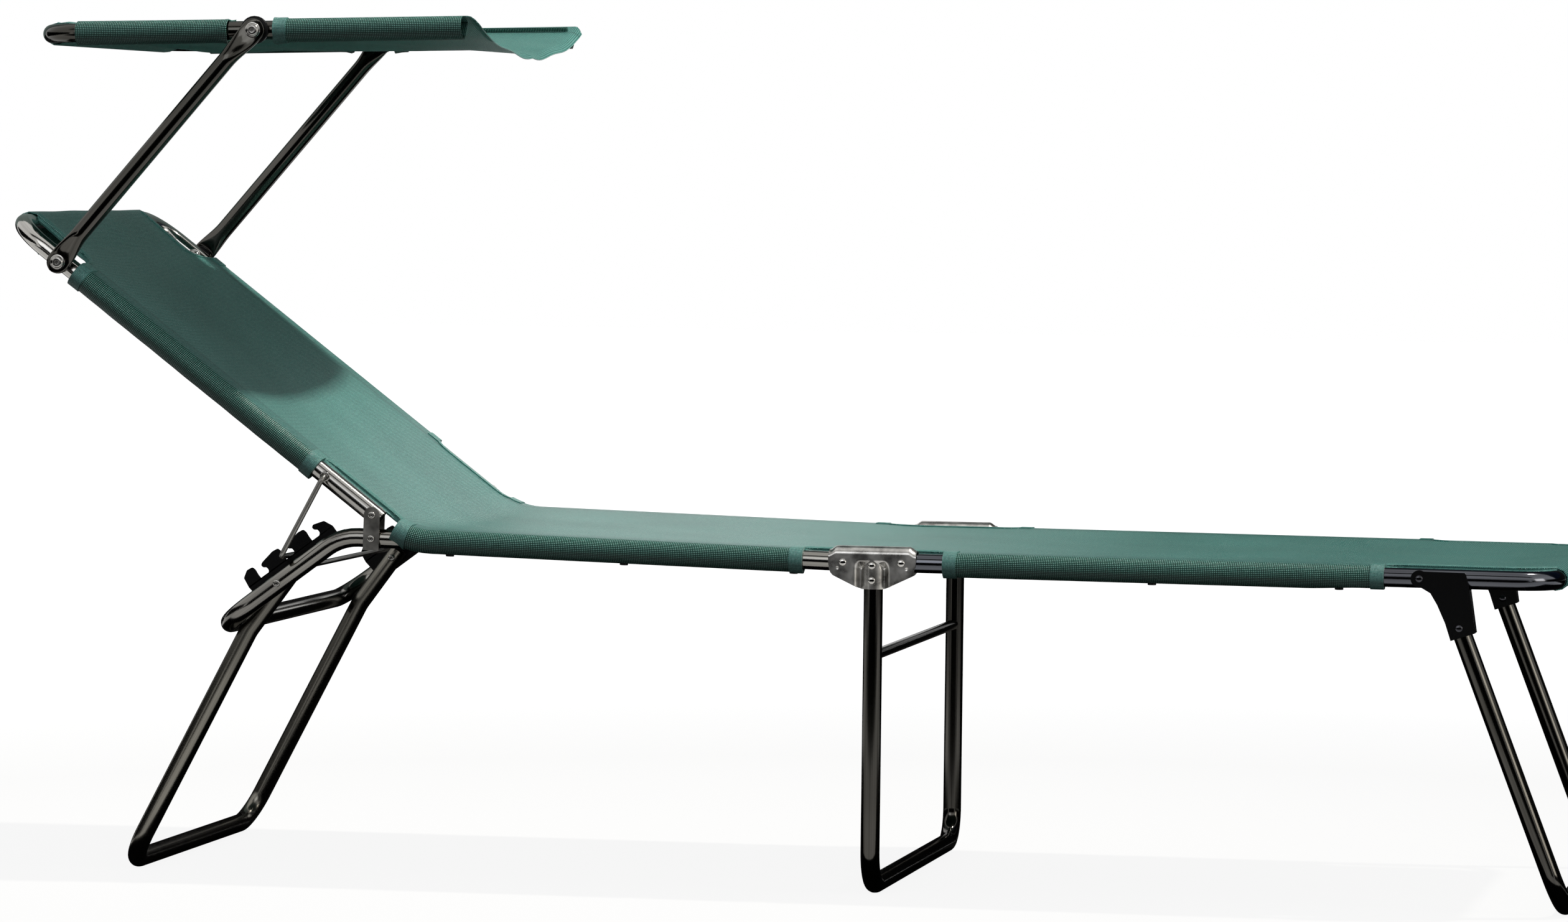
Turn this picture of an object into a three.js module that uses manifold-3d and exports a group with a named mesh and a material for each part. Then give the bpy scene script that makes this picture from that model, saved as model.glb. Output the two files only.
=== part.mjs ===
// Folding sun lounger with a pivoting sun canopy, in millimetres, +Z up.
// +X points to the foot end, -X to the head end, and the near side is -Y.
// The origin is on the floor, under the middle of the mid leg's floor bar.
import * as THREE from 'three';
import { mergeVertices } from 'three/addons/utils/BufferGeometryUtils.js';
import Module from 'manifold-3d';

const wasm = await Module();
wasm.setup();

// Driving sizes of the whole lounger
const frame_width = 580;              // between the centre lines of the two rails
const tube_diameter = 22;
const tube_wall = 1.2;
const rail_height = 385;              // centre line of the rails over the mid leg
const head_rise = 1.5;                // degrees the head half rises from the mid leg
const foot_fall = 0.35;               // degrees the foot half falls from the mid leg
const corner_radius = 46;             // centre line of the bends at the frame corners
const fit = 0.3;                      // running gap between pieces that nest
const overrun = 5;                    // how far a cutting tool passes through a wall
const weld = 0.0001;                  // points closer than this are one point

// Seat frames
const pivot_spacing = 68;             // between the two seat pivots over the mid leg
const rail_end_overhang = 10;         // tube beyond its pivot
const head_rail_length = 596.5;       // pivot to the corner where the frame dips
const dip_angle = 38.3;               // degrees below the head rail
const dip_length = 179;               // corner to the centre of the head bar
const dip_bend_radius = 62;
const foot_rail_length = 744;         // pivot to the centre of the foot bar

// Backrest
const hinge_along_rail = 557.7;       // from the seat pivot
const hinge_above_rail = 27.5;
const backrest_angle = 35.8;          // degrees above the head rail, in the middle notch
const backrest_length = 550;          // hinge to the centre of the top bar
const backrest_end_overhang = 9;
const arm_pivot_along = 476.3;        // from the hinge, along the backrest
const strut_pivot_along = 72;

// Legs
const head_leg_pivot_along_dip = 93;
const head_leg_upper = 72.6;          // pivot to knee
const head_leg_knee = 9;              // degrees
const head_leg_top = 12;              // tube above the leg's pivot
const head_leg_washer = 1.5;          // between the leg and the ratchet plate
const knee_radius = 60;
const leg_corner_radius = 40;
const foot_leg_pivot_from_bar = 150;  // on the rail, from the centre of the foot bar
const foot_leg_axis_along = 46.4;     // the leg rivet, from the bracket's pivot
const foot_leg_axis_below = 55.1;
const foot_leg_angle = 21.1;          // degrees from upright
const foot_leg_top = 20;              // tube above the leg rivet
const mid_leg_top = 8;                 // tube above the seat pivots
const crossbar_diameter = 12.6;
const crossbar_height = 277.5;

// Rivets, bolts and washers
const rivet_hole = 3.2;               // radius
const rivet_head_radius = 4.3;
const rivet_head_height = 2;
const rivet_sides = 8;
const bolt_head_radius = 7.9;
const bolt_head_height = 4;
const bolt_shank_radius = 3.8;
const bolt_nut_radius = 6.4;
const dome_share = 0.72;              // where a domed head breaks towards its crown

// Ratchet plates
const plate_thickness = 3;
const tooth_pitch = 38;
const tooth_count = 3;                // notches in each plate
const tooth_height = 18;
const notch_above_tube = 17.6;        // notch floor over the tube's centre line
const plate_below = 26;               // plate below the notch floor
const middle_notch_along_dip = 72.5;  // flank of the middle notch, from the dip corner
const pocket_width = 13.2;
const notch_mouth = 9;
const rod_diameter = 6.2;

// Strut
const strut_drop = 22;                // the grip bar lies this far below the notches
const strut_joggle_inset = 46;        // from the rail's centre line
const strut_bend_radius = 7;
const strut_stub_inset = 2;           // its stubs end this far inside the tube's inner side

// Hinge straps
const strap_thickness = 2;
const strap_width = 19;

// Seat brackets over the mid leg; heights are taken from the seat pivots
const bracket_sheet = 1.6;
const bracket_end = 17;               // sheet past each seat pivot
const bracket_drop = 30.5;            // to the lower edge
const spine_rise = 18.7;              // to the top of the spine's raised middle
const spine_half = 39;                // half the length of that middle
const spine_shoulder = 10;            // where the flat cheeks turn into the round spine
const spine_end_rise = 14.2;          // the same two at the spine's ends, where it hugs the rail
const spine_end_shoulder = 3;
const funnel_near = 3;                // the pressed funnels, from the middle of the leg
const funnel_crease = 12.9;
const funnel_far = 21;
const funnel_top = 2.8;               // the funnel's upper edge
const funnel_point = 10;              // below the pivots, where its back runs into the crease
const funnel_depth = 5;
const crease_half = 0.6;
const upper_rivet_drop = 3.4;         // the two leg rivets
const lower_rivet_drop = 20.4;

// Foot brackets: black channels, open towards the head end
const channel_sheet = 2;
const channel_round = 9.7;            // about the rail's pivot
const channel_top = 8;                // leaf above the rail's centre line
const channel_length = 51;            // leaf's top edge, from the pivot
const channel_bulge = 57;             // the web where it leaves the rail
const channel_past_leg = 18.1;        // web past the leg's rivet
const channel_below_leg = 4.9;

// Canopy
const arm_length = 359.1;
const arm_angle = 86.8;               // degrees forward from the backrest
const arm_diameter = 20.5;
const arm_end_radius = 13.6;
const arm_end_thickness = 6.5;
const arm_flare = 42;                 // length over which the end is pressed flat
const disc_thickness = 5;
const lower_disc_radius = 13;
const upper_disc_radius = 16.4;
const canopy_tilt = 48.2;             // degrees from the arms back to level
const canopy_rear = 260;              // pivot to the centre of the rear bar
const canopy_front = 240;             // pivot to the front ends of the tube

// Fabric
const fabric_thickness = 1.6;
const sleeve_gap = 0.5;               // between a tube and its sleeve
const sheet_step = 0.1;               // the sheet joins its sleeves this far below their top
const sheet_edge = 16;                // flat edge of a sheet, before it sags
const seat_sag = 6;
const backrest_sag = 8;
const canopy_sag = 34;                // at the free front edge
const canopy_flap = 20;               // cloth that hangs past the front ends of the tube
const cutout_inset = 30;              // bound edge of a cut-out, from the rail's centre line
const sleeve_end = 14;                // the sheet narrows over this length at a cut-out
const sleeve_start = 4;
const hem_flat = 16;                  // level cloth beside a bar's hem
const hem_length = 45;                // and from there it sags fully
const seat_gap = 2;                   // between the two seat sheets and the middle of the leg
const backrest_tail = 30;             // the backrest sheet runs past the hinge to meet the seat
const seat_start = 36;                // the seat sheet begins this far past the hinge

// Bare rail between a pivot and the nearest sleeve
const bare_at_hinge = 30.7;
const bare_at_seat_pivot = 48.5;
const bare_at_foot_leg = 38.5;
const bare_at_strut = 16;
const bare_at_arm = 21.3;
const bare_behind_canopy_bolt = 34;
const bare_before_canopy_bolt = 22;
const bare_canopy_corner = 43;
const canopy_sleeve_overhang = 6;     // past the front ends of the tube

// Studs that pin the sleeves to the underside of the rails
const stud_radius = 5;
const stud_height = 2.5;

// Derived places
const radius = tube_diameter / 2;
const half_width = frame_width / 2;
const half_pivots = pivot_spacing / 2;
const foot_leg_pivot_along = foot_rail_length - foot_leg_pivot_from_bar;
const tube_sides = 12;
const bore_sides = 8;
const tube_turn = Math.PI / tube_sides;
const corner_radius_share = 1 / Math.cos(tube_turn);
const rad = THREE.MathUtils.degToRad;
const near_and_far = [['near', -1], ['far', 1]];

// Materials
const paint = (color, roughness, metalness) =>
  new THREE.MeshStandardMaterial({ color, roughness, metalness });
const dark_chrome = paint(0x55544f, 0.25, 1);
const bright_steel = paint(0xb9b7b0, 0.3, 1);
const grey_steel = paint(0x7c7a75, 0.4, 1);
const black_coat = paint(0x141414, 0.5, 0.1);
const green_mesh = paint(0x1f4d45, 0.85, 0);

// Solids from manifold-3d, for cuts and joins
const toSolid = (geometry) => {
  const bare = geometry.clone();
  bare.deleteAttribute('normal');
  bare.deleteAttribute('uv');
  const merged = mergeVertices(bare, weld);
  const vertProperties = new Float32Array(merged.attributes.position.array);
  const triVerts = new Uint32Array(merged.index.array);
  return new wasm.Manifold(new wasm.Mesh({ numProp: 3, vertProperties, triVerts }));
};

const fromSolid = (solid) => {
  const mesh = solid.getMesh();
  const geometry = new THREE.BufferGeometry();
  geometry.setAttribute('position', new THREE.BufferAttribute(new Float32Array(mesh.vertProperties), 3));
  geometry.setIndex(new THREE.BufferAttribute(new Uint32Array(mesh.triVerts), 1));
  return geometry;
};

const cut = (geometry, ...tools) =>
  fromSolid(tools.reduce((solid, tool) => solid.subtract(toSolid(tool)), toSolid(geometry)));
const join = (...pieces) =>
  fromSolid(pieces.slice(1).reduce((solid, piece) => solid.add(toSolid(piece)), toSolid(pieces[0])));
const common = (geometry, tool) => fromSolid(toSolid(geometry).intersect(toSolid(tool)));

// A path that gives exactly the stations it is built from, so straight runs need no extra rings
class StationPath extends THREE.Curve {
  constructor(stations) {
    super();
    this.stations = stations;
  }

  at(t) {
    return this.stations[Math.round(t * (this.stations.length - 1))];
  }

  getPoint(t) {
    return this.at(t).point.clone();
  }

  getPointAt(t) {
    return this.getPoint(t);
  }

  getTangent(t) {
    return this.at(t).tangent.clone();
  }

  getTangentAt(t) {
    return this.getTangent(t);
  }
}

// Straight runs between corners, each corner rounded to its own radius
const bent = (corners, radii, step = rad(20)) => {
  const stations = [];
  const last = corners.length - 1;
  const direction = (i) => corners[i + 1].clone().sub(corners[i]).normalize();
  stations.push({ point: corners[0], tangent: direction(0) });
  for (let i = 1; i < last; i += 1) {
    const into = direction(i - 1);
    const out = direction(i);
    const turn = into.angleTo(out);
    const bend = radii[i - 1];
    const setback = bend * Math.tan(turn / 2);
    const axis = into.clone().cross(out).normalize();
    const start = corners[i].clone().addScaledVector(into, -setback);
    const inward = axis.clone().cross(into);
    const centre = start.clone().addScaledVector(inward, bend);
    const steps = Math.max(1, Math.round(turn / step));
    for (let k = 0; k <= steps; k += 1) {
      const angle = (turn * k) / steps;
      const arm = start.clone().sub(centre).applyAxisAngle(axis, angle);
      stations.push({ point: centre.clone().add(arm), tangent: into.clone().applyAxisAngle(axis, angle) });
    }
  }
  stations.push({ point: corners[last], tangent: direction(last - 1) });
  return new StationPath(stations);
};

const polygon = (round, sides, turn = Math.PI / sides) => {
  const points = [];
  for (let i = 0; i < sides; i += 1) {
    const angle = turn + (2 * Math.PI * i) / sides;
    points.push(new THREE.Vector2(round * Math.cos(angle), round * Math.sin(angle)));
  }
  return points;
};

const sweep = (shape, path) => new THREE.ExtrudeGeometry(shape, {
  steps: path.stations.length - 1, bevelEnabled: false, extrudePath: path,
});

// A hollow tube whose flats lie on the true diameter
const hollow = (path, outer = radius, wall = tube_wall) => {
  const shape = new THREE.Shape(polygon(outer * corner_radius_share, tube_sides));
  shape.holes.push(new THREE.Path(polygon(outer - wall, bore_sides).reverse()));
  return sweep(shape, path);
};
const rod = (path, outer, sides = 8) => sweep(new THREE.Shape(polygon(outer, sides)), path);

const vec = (x, y, z) => new THREE.Vector3(x, y, z);

// A round bar along Y, centred at x, y, z
const bar = (x, y, z, round, length, sides = 12) => {
  const geometry = new THREE.CylinderGeometry(round, round, length, sides);
  return geometry.translate(x, y, z);
};

// An outline drawn in X and Z, given its thickness along Y about the middle
const flat = (shape, thickness, y = 0) => {
  const settings = { depth: thickness, bevelEnabled: false, curveSegments: 8 };
  const geometry = new THREE.ExtrudeGeometry(shape, settings);
  geometry.rotateX(Math.PI / 2);
  return geometry.translate(0, y + thickness / 2, 0);
};

const outline = (points) => new THREE.Shape(points.map(([x, z]) => new THREE.Vector2(x, z)));

// Closed skin through rings of equal point counts, which run clockwise seen along the path
const clockwise = (rings) => {
  const [first, second] = rings;
  const middle = (ring) => ring.reduce((sum, p) => sum.add(p), new THREE.Vector3()).divideScalar(ring.length);
  const centre = middle(first);
  const along = middle(second).sub(centre);
  const normal = new THREE.Vector3();
  first.forEach((p, i) => {
    const next = first[(i + 1) % first.length];
    normal.add(p.clone().sub(centre).cross(next.clone().sub(centre)));
  });
  return normal.dot(along) > 0 ? rings : rings.map((ring) => [...ring].reverse());
};
const loft = (loose) => {
  const rings = clockwise(loose);
  const count = rings[0].length;
  const positions = rings.flat().flatMap((p) => [p.x, p.y, p.z]);
  const index = [];
  for (let r = 0; r < rings.length - 1; r += 1) {
    for (let i = 0; i < count; i += 1) {
      const a = r * count + i;
      const b = r * count + ((i + 1) % count);
      index.push(a, b, a + count, b, b + count, a + count);
    }
  }
  const end = (rings.length - 1) * count;
  for (let i = 0; i < count / 2 - 1; i += 1) {
    const facing = count - 1 - i;
    index.push(i, facing - 1, i + 1, i, facing, facing - 1);
    index.push(end + i, end + i + 1, end + facing - 1, end + i, end + facing - 1, end + facing);
  }
  const geometry = new THREE.BufferGeometry();
  geometry.setAttribute('position', new THREE.Float32BufferAttribute(positions, 3));
  geometry.setIndex(index);
  return geometry;
};

// Rivet through a stack of given width along Y, with a domed head at both ends
const rivetShape = (stack, head = rivet_head_radius, height = rivet_head_height, shank = rivet_hole - fit,
  tail = head) => {
  const half = stack / 2 + fit / 3;
  return new THREE.LatheGeometry([
    new THREE.Vector2(0, -half - height),
    new THREE.Vector2(head * dome_share, -half - height * dome_share),
    new THREE.Vector2(head, -half),
    new THREE.Vector2(shank, -half),
    new THREE.Vector2(shank, half),
    new THREE.Vector2(tail, half),
    new THREE.Vector2(tail * dome_share, half + height * dome_share),
    new THREE.Vector2(0, half + height),
  ], rivet_sides);
};
const rivet = (x, y, z, stack) => rivetShape(stack).translate(x, y, z);

const model = new THREE.Group();
const place = (parent, name, geometry, material) => {
  const mesh = new THREE.Mesh(geometry, material);
  mesh.name = name;
  parent.add(mesh);
};
const frameAt = (parent, x, z, degrees) => {
  const group = new THREE.Group();
  group.position.set(x, 0, z);
  group.rotation.y = rad(degrees);
  parent.add(group);
  return group;
};

const head_half = frameAt(model, -half_pivots, rail_height, head_rise);
const foot_half = frameAt(model, half_pivots, rail_height, foot_fall);

// Height of a tilted floor bar's centre, whose lowest corner or flat meets the floor
const restHeight = (degrees) => {
  const step = 2 * tube_turn;
  const off = Math.abs(rad(degrees) % step - tube_turn);
  return radius * corner_radius_share * Math.cos(off);
};

// Head seat frame: rails, the dip behind the hinge and the head bar are one bent tube
const dip = rad(dip_angle);
const dip_x = -Math.cos(dip);
const dip_z = -Math.sin(dip);
const alongDip = (along, above = 0) => ({
  x: -head_rail_length + along * dip_x + above * dip_z,
  z: along * dip_z - above * dip_x,
});
const head_bar = alongDip(dip_length);
const head_frame_path = bent([
  vec(rail_end_overhang, -half_width, 0),
  vec(-head_rail_length, -half_width, 0),
  vec(head_bar.x, -half_width, head_bar.z),
  vec(head_bar.x, half_width, head_bar.z),
  vec(-head_rail_length, half_width, 0),
  vec(rail_end_overhang, half_width, 0),
], [dip_bend_radius, corner_radius, corner_radius, dip_bend_radius]);
const leg_pivot = alongDip(head_leg_pivot_along_dip);
const through = frame_width + 2 * tube_diameter;
place(head_half, 'seat_head_frame', cut(
  hollow(head_frame_path),
  bar(0, 0, 0, rivet_hole, through),
  bar(-hinge_along_rail, 0, 0, rivet_hole, through),
  bar(leg_pivot.x, 0, leg_pivot.z, rivet_hole, through),
), dark_chrome);

// Ratchet plates: three notches, each overhung by the lobe of the tooth above it
const rod_radius = rod_diameter / 2;
const tooth_back_shares = [[0, 0], [0.008, 0.35], [-0.008, 0.7], [0.032, 0.95], [0.22, 1]];
const tooth_lobe_shares = [[-0.08, 0.82], [0, 0.7], [-0.02, 0.5]];
const tooth_pocket_shares = [[0, 0.38], [-0.008, 0.15], [0.06, 0]];
const first_tooth_shares = [[0.2, -0.72], [0.2, 0], [0.34, 0.6]];
const last_tooth_shares = [[0.44, 0.7], [0.48, 0]];
const plate_foot_shares = [0.4, 0.3];
const inTeeth = (from, shares) =>
  shares.map(([along, up]) => [from + along * tooth_pitch, up * tooth_height]);
const toothPoints = (start) => [
  ...inTeeth(start, tooth_back_shares),
  ...inTeeth(start + tooth_pitch - notch_mouth, tooth_lobe_shares),
  ...inTeeth(start + tooth_pitch - pocket_width, tooth_pocket_shares),
];
const plate_start = middle_notch_along_dip - 2 * tooth_pitch;
const plate_end = plate_start + tooth_count * tooth_pitch;
const plateAt = ([u, v]) => {
  const p = alongDip(u, notch_above_tube + v);
  return [p.x, p.z];
};
const platePoints = () => {
  const [last_foot, first_foot] = plate_foot_shares;
  const back = tooth_back_shares.length;
  const points = [...inTeeth(plate_start, first_tooth_shares), ...toothPoints(plate_start).slice(back)];
  for (let i = 1; i < tooth_count; i += 1) points.push(...toothPoints(plate_start + i * tooth_pitch));
  points.push(...inTeeth(plate_end, [...tooth_back_shares, ...last_tooth_shares]));
  points.push([plate_end + tooth_pitch * last_foot, -plate_below]);
  points.push([middle_notch_along_dip - tooth_pitch * first_foot, -plate_below]);
  return points;
};
const plate_y = half_width - radius - fit - plate_thickness / 2;
for (const [side, sign] of near_and_far) {
  place(head_half, `ratchet_plate_${side}`, cut(
    flat(outline(platePoints().map(plateAt)), plate_thickness, sign * plate_y),
    bar(leg_pivot.x, 0, leg_pivot.z, rivet_hole, through),
  ), black_coat);
}

// Hinge straps: a strip folded round the rail, with the backrest pivot in its two ears
const strap_outer = radius + fit + strap_thickness;
const strapShape = () => {
  const shape = new THREE.Shape();
  shape.moveTo(-strap_width / 2, -strap_outer);
  shape.lineTo(strap_width / 2, -strap_outer);
  shape.lineTo(strap_width / 2, hinge_above_rail);
  shape.absarc(0, hinge_above_rail, strap_width / 2, 0, Math.PI, false);
  shape.lineTo(-strap_width / 2, -strap_outer);
  return shape;
};
const strap_slot = 2 * (radius + fit);
for (const [side, sign] of near_and_far) {
  const y = sign * half_width;
  const slot_height = hinge_above_rail + strap_width + overrun + radius + fit;
  const slot = new THREE.BoxGeometry(strap_width + 2 * overrun, strap_slot, slot_height);
  slot.translate(0, y, slot_height / 2 - radius - fit);
  place(head_half, `hinge_strap_${side}`, cut(
    flat(strapShape(), 2 * strap_outer, y),
    slot,
    bar(0, y, 0, rivet_hole, through),
    bar(0, y, hinge_above_rail, rivet_hole, through),
  ).translate(-hinge_along_rail, 0, 0), grey_steel);
  place(head_half, `strap_rivet_${side}`, rivet(-hinge_along_rail, y, 0, 2 * strap_outer), bright_steel);
  place(head_half, `backrest_pivot_${side}`,
    rivet(-hinge_along_rail, y, hinge_above_rail, 2 * strap_outer), bright_steel);
}

// Head leg: one bent tube with a knee, standing against the head bar
const knee = rad(head_leg_knee);
const knee_x = -head_leg_upper * Math.sin(knee);
const knee_z = -head_leg_upper * Math.cos(knee);
const head_leg_inset = tube_diameter + plate_thickness + head_leg_washer;
const head_leg_half = half_width - head_leg_inset;
const bend_reach = corner_radius - head_leg_inset + radius / 2;
const contact_along = dip_length - corner_radius + Math.sqrt(corner_radius ** 2 - bend_reach ** 2);
const contact = Math.abs(knee_x) + tube_diameter * corner_radius_share + fit;
const head_leg_turn = Math.acos(contact / (contact_along - head_leg_pivot_along_dip)) - dip;
const head_leg_tilt = head_leg_turn + rad(head_rise);
const head_leg = frameAt(head_half, leg_pivot.x, leg_pivot.z, THREE.MathUtils.radToDeg(head_leg_turn));
const toWorldZ = (x, z) => rail_height - x * Math.sin(rad(head_rise)) + z * Math.cos(rad(head_rise));
const leg_pivot_height = toWorldZ(leg_pivot.x, leg_pivot.z);
const head_leg_rest = restHeight(THREE.MathUtils.radToDeg(head_leg_tilt));
const knee_height = leg_pivot_height + knee_z * Math.cos(head_leg_tilt) - knee_x * Math.sin(head_leg_tilt);
const head_leg_lower = (knee_height - head_leg_rest) / Math.cos(head_leg_tilt);
const top_x = head_leg_top * Math.sin(knee);
const top_z = head_leg_top * Math.cos(knee);
const foot_z = knee_z - head_leg_lower;
place(head_leg, 'head_leg_tube', cut(
  hollow(bent([
    vec(top_x, -head_leg_half, top_z),
    vec(knee_x, -head_leg_half, knee_z),
    vec(knee_x, -head_leg_half, foot_z),
    vec(knee_x, head_leg_half, foot_z),
    vec(knee_x, head_leg_half, knee_z),
    vec(top_x, head_leg_half, top_z),
  ], [knee_radius, leg_corner_radius, leg_corner_radius, knee_radius])),
  bar(0, 0, 0, rivet_hole, through),
), dark_chrome);
for (const [side, sign] of near_and_far) {
  const stack = head_leg_inset + tube_diameter;
  const y = sign * (half_width + radius - stack / 2);
  place(head_half, `head_leg_pivot_${side}`, rivet(leg_pivot.x, y, leg_pivot.z, stack), bright_steel);
}

// Mid leg: one bent tube with a thin crossbar, and a pressed bracket on top of each side
const mid_top = rail_height + mid_leg_top;
const leg_rivets = [['upper', rail_height - upper_rivet_drop], ['lower', rail_height - lower_rivet_drop]];
place(model, 'mid_leg_tube', cut(
  hollow(bent([
    vec(0, -half_width, mid_top),
    vec(0, -half_width, radius),
    vec(0, half_width, radius),
    vec(0, half_width, mid_top),
  ], [leg_corner_radius, leg_corner_radius])),
  ...leg_rivets.map(([, z]) => bar(0, 0, z, rivet_hole, through)),
), dark_chrome);
place(model, 'mid_leg_crossbar', hollow(bent([
  vec(0, -half_width + radius + fit, crossbar_height),
  vec(0, half_width - radius - fit, crossbar_height),
], []), crossbar_diameter / 2), dark_chrome);

// Seat bracket: one sheet folded over the joint, with a raised round spine. Either side of the leg
// each cheek is drawn inwards as a funnel that runs into a crease, so the leg sits in a socket.
const bracket_half = half_pivots + bracket_end;
const bracket_edge_shares = [[1, -0.05], [0.965, -0.33], [0.89, -0.5], [0.255, -1]];
const bracketShape = () => {
  const right = bracket_edge_shares.map(([across, down]) => [across * bracket_half, down * bracket_drop]);
  const left = right.map(([x, z]) => [-x, z]).reverse();
  return outline([[-bracket_half, spine_rise], [bracket_half, spine_rise], ...right, ...left]);
};
const spine_steps = 8;
const spineForm = (half, sheet) => {
  const below = -bracket_drop - overrun;
  const stations = [
    [-bracket_half - overrun, spine_end_rise, spine_end_shoulder],
    [-bracket_half, spine_end_rise, spine_end_shoulder],
    [-spine_half, spine_rise, spine_shoulder],
    [spine_half, spine_rise, spine_shoulder],
    [bracket_half, spine_end_rise, spine_end_shoulder],
    [bracket_half + overrun, spine_end_rise, spine_end_shoulder],
  ];
  return loft(stations.map(([x, rise, shoulder]) => {
    const ring = [vec(x, -half, below)];
    for (let i = 0; i <= spine_steps; i += 1) {
      const turn = (Math.PI * i) / spine_steps;
      ring.push(vec(x, -half * Math.cos(turn), shoulder + (rise - sheet - shoulder) * Math.sin(turn)));
    }
    ring.push(vec(x, half, below));
    return ring;
  }));
};
const funnel_start_share = 0.02;      // of its depth, at its upper edge
const funnelForm = (end, face, wall) => {
  const levels = [
    [funnel_top, (funnel_far - funnel_near) / 2 - crease_half, funnel_start_share],
    [-funnel_point, crease_half, 1],
    [-bracket_drop - overrun, crease_half, 1],
  ];
  return loft(levels.map(([z, half, share]) => {
    const middle = THREE.MathUtils.lerp((funnel_near + funnel_far) / 2, funnel_crease, share);
    const at = (x, depth) => vec(end * x, face * (bracket_outer - wall - depth), z);
    return [
      at(funnel_near, -overrun), at(funnel_near, 0), at(middle - half, share * funnel_depth),
      at(middle + half, share * funnel_depth), at(funnel_far, 0), at(funnel_far, -overrun),
    ];
  }));
};
const bracket_outer = radius + fit + bracket_sheet;
const funnels = (wall) => [-1, 1].flatMap((end) => [-1, 1].map((face) => funnelForm(end, face, wall)));
const bracketSolid = () => cut(
  common(flat(bracketShape(), 2 * bracket_outer), spineForm(bracket_outer, 0)),
  ...funnels(0),
  cut(spineForm(radius + fit, bracket_sheet), ...funnels(bracket_sheet)),
  bar(-half_pivots, 0, 0, rivet_hole, through),
  bar(half_pivots, 0, 0, rivet_hole, through),
  bar(0, 0, -upper_rivet_drop, rivet_hole, through),
  bar(0, 0, -lower_rivet_drop, rivet_hole, through),
);
for (const [side, sign] of near_and_far) {
  const y = sign * half_width;
  place(model, `seat_bracket_${side}`, bracketSolid().translate(0, y, rail_height), bright_steel);
  [['head', -half_pivots], ['foot', half_pivots]].forEach(([end, x]) => {
    place(model, `seat_pivot_${end}_${side}`, rivet(x, y, rail_height, 2 * bracket_outer), grey_steel);
  });
  leg_rivets.forEach(([level, z]) => {
    place(model, `mid_leg_rivet_${level}_${side}`, rivet(0, y, z, 2 * bracket_outer), grey_steel);
  });
}

// Foot seat frame: one bent tube
place(foot_half, 'seat_foot_frame', cut(
  hollow(bent([
    vec(-rail_end_overhang, -half_width, 0),
    vec(foot_rail_length, -half_width, 0),
    vec(foot_rail_length, half_width, 0),
    vec(-rail_end_overhang, half_width, 0),
  ], [corner_radius, corner_radius])),
  bar(0, 0, 0, rivet_hole, through),
  bar(foot_leg_pivot_along, 0, 0, rivet_hole, through),
), dark_chrome);

// Foot leg: a channel bracket pivots on each rail and carries the leg tube below it
const foot_leg = frameAt(foot_half, foot_leg_pivot_along, 0, 0);
const foot_tilt = rad(foot_leg_angle + foot_fall);
const foot_dir = { x: Math.sin(foot_tilt), z: -Math.cos(foot_tilt) };
const foot_pivot_height = rail_height - foot_leg_pivot_along * Math.sin(rad(foot_fall));
const foot_rest = restHeight(foot_leg_angle);
const foot_rivet_fall = foot_leg_axis_below + foot_leg_axis_along * Math.sin(rad(foot_fall));
const foot_rivet_height = foot_pivot_height - foot_rivet_fall;
const foot_leg_below = (foot_rivet_height - foot_rest) / Math.cos(rad(foot_leg_angle));
const onFootLeg = (along) => ({
  x: foot_leg_axis_along + along * foot_dir.x,
  z: -foot_leg_axis_below + along * foot_dir.z,
});
const foot_top = onFootLeg(-foot_leg_top);
const foot_end = onFootLeg(foot_leg_below);
place(foot_leg, 'foot_leg_tube', cut(
  hollow(bent([
    vec(foot_top.x, -half_width, foot_top.z),
    vec(foot_end.x, -half_width, foot_end.z),
    vec(foot_end.x, half_width, foot_end.z),
    vec(foot_top.x, half_width, foot_top.z),
  ], [leg_corner_radius, leg_corner_radius])),
  bar(foot_leg_axis_along, 0, -foot_leg_axis_below, rivet_hole, through),
), dark_chrome);

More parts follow.
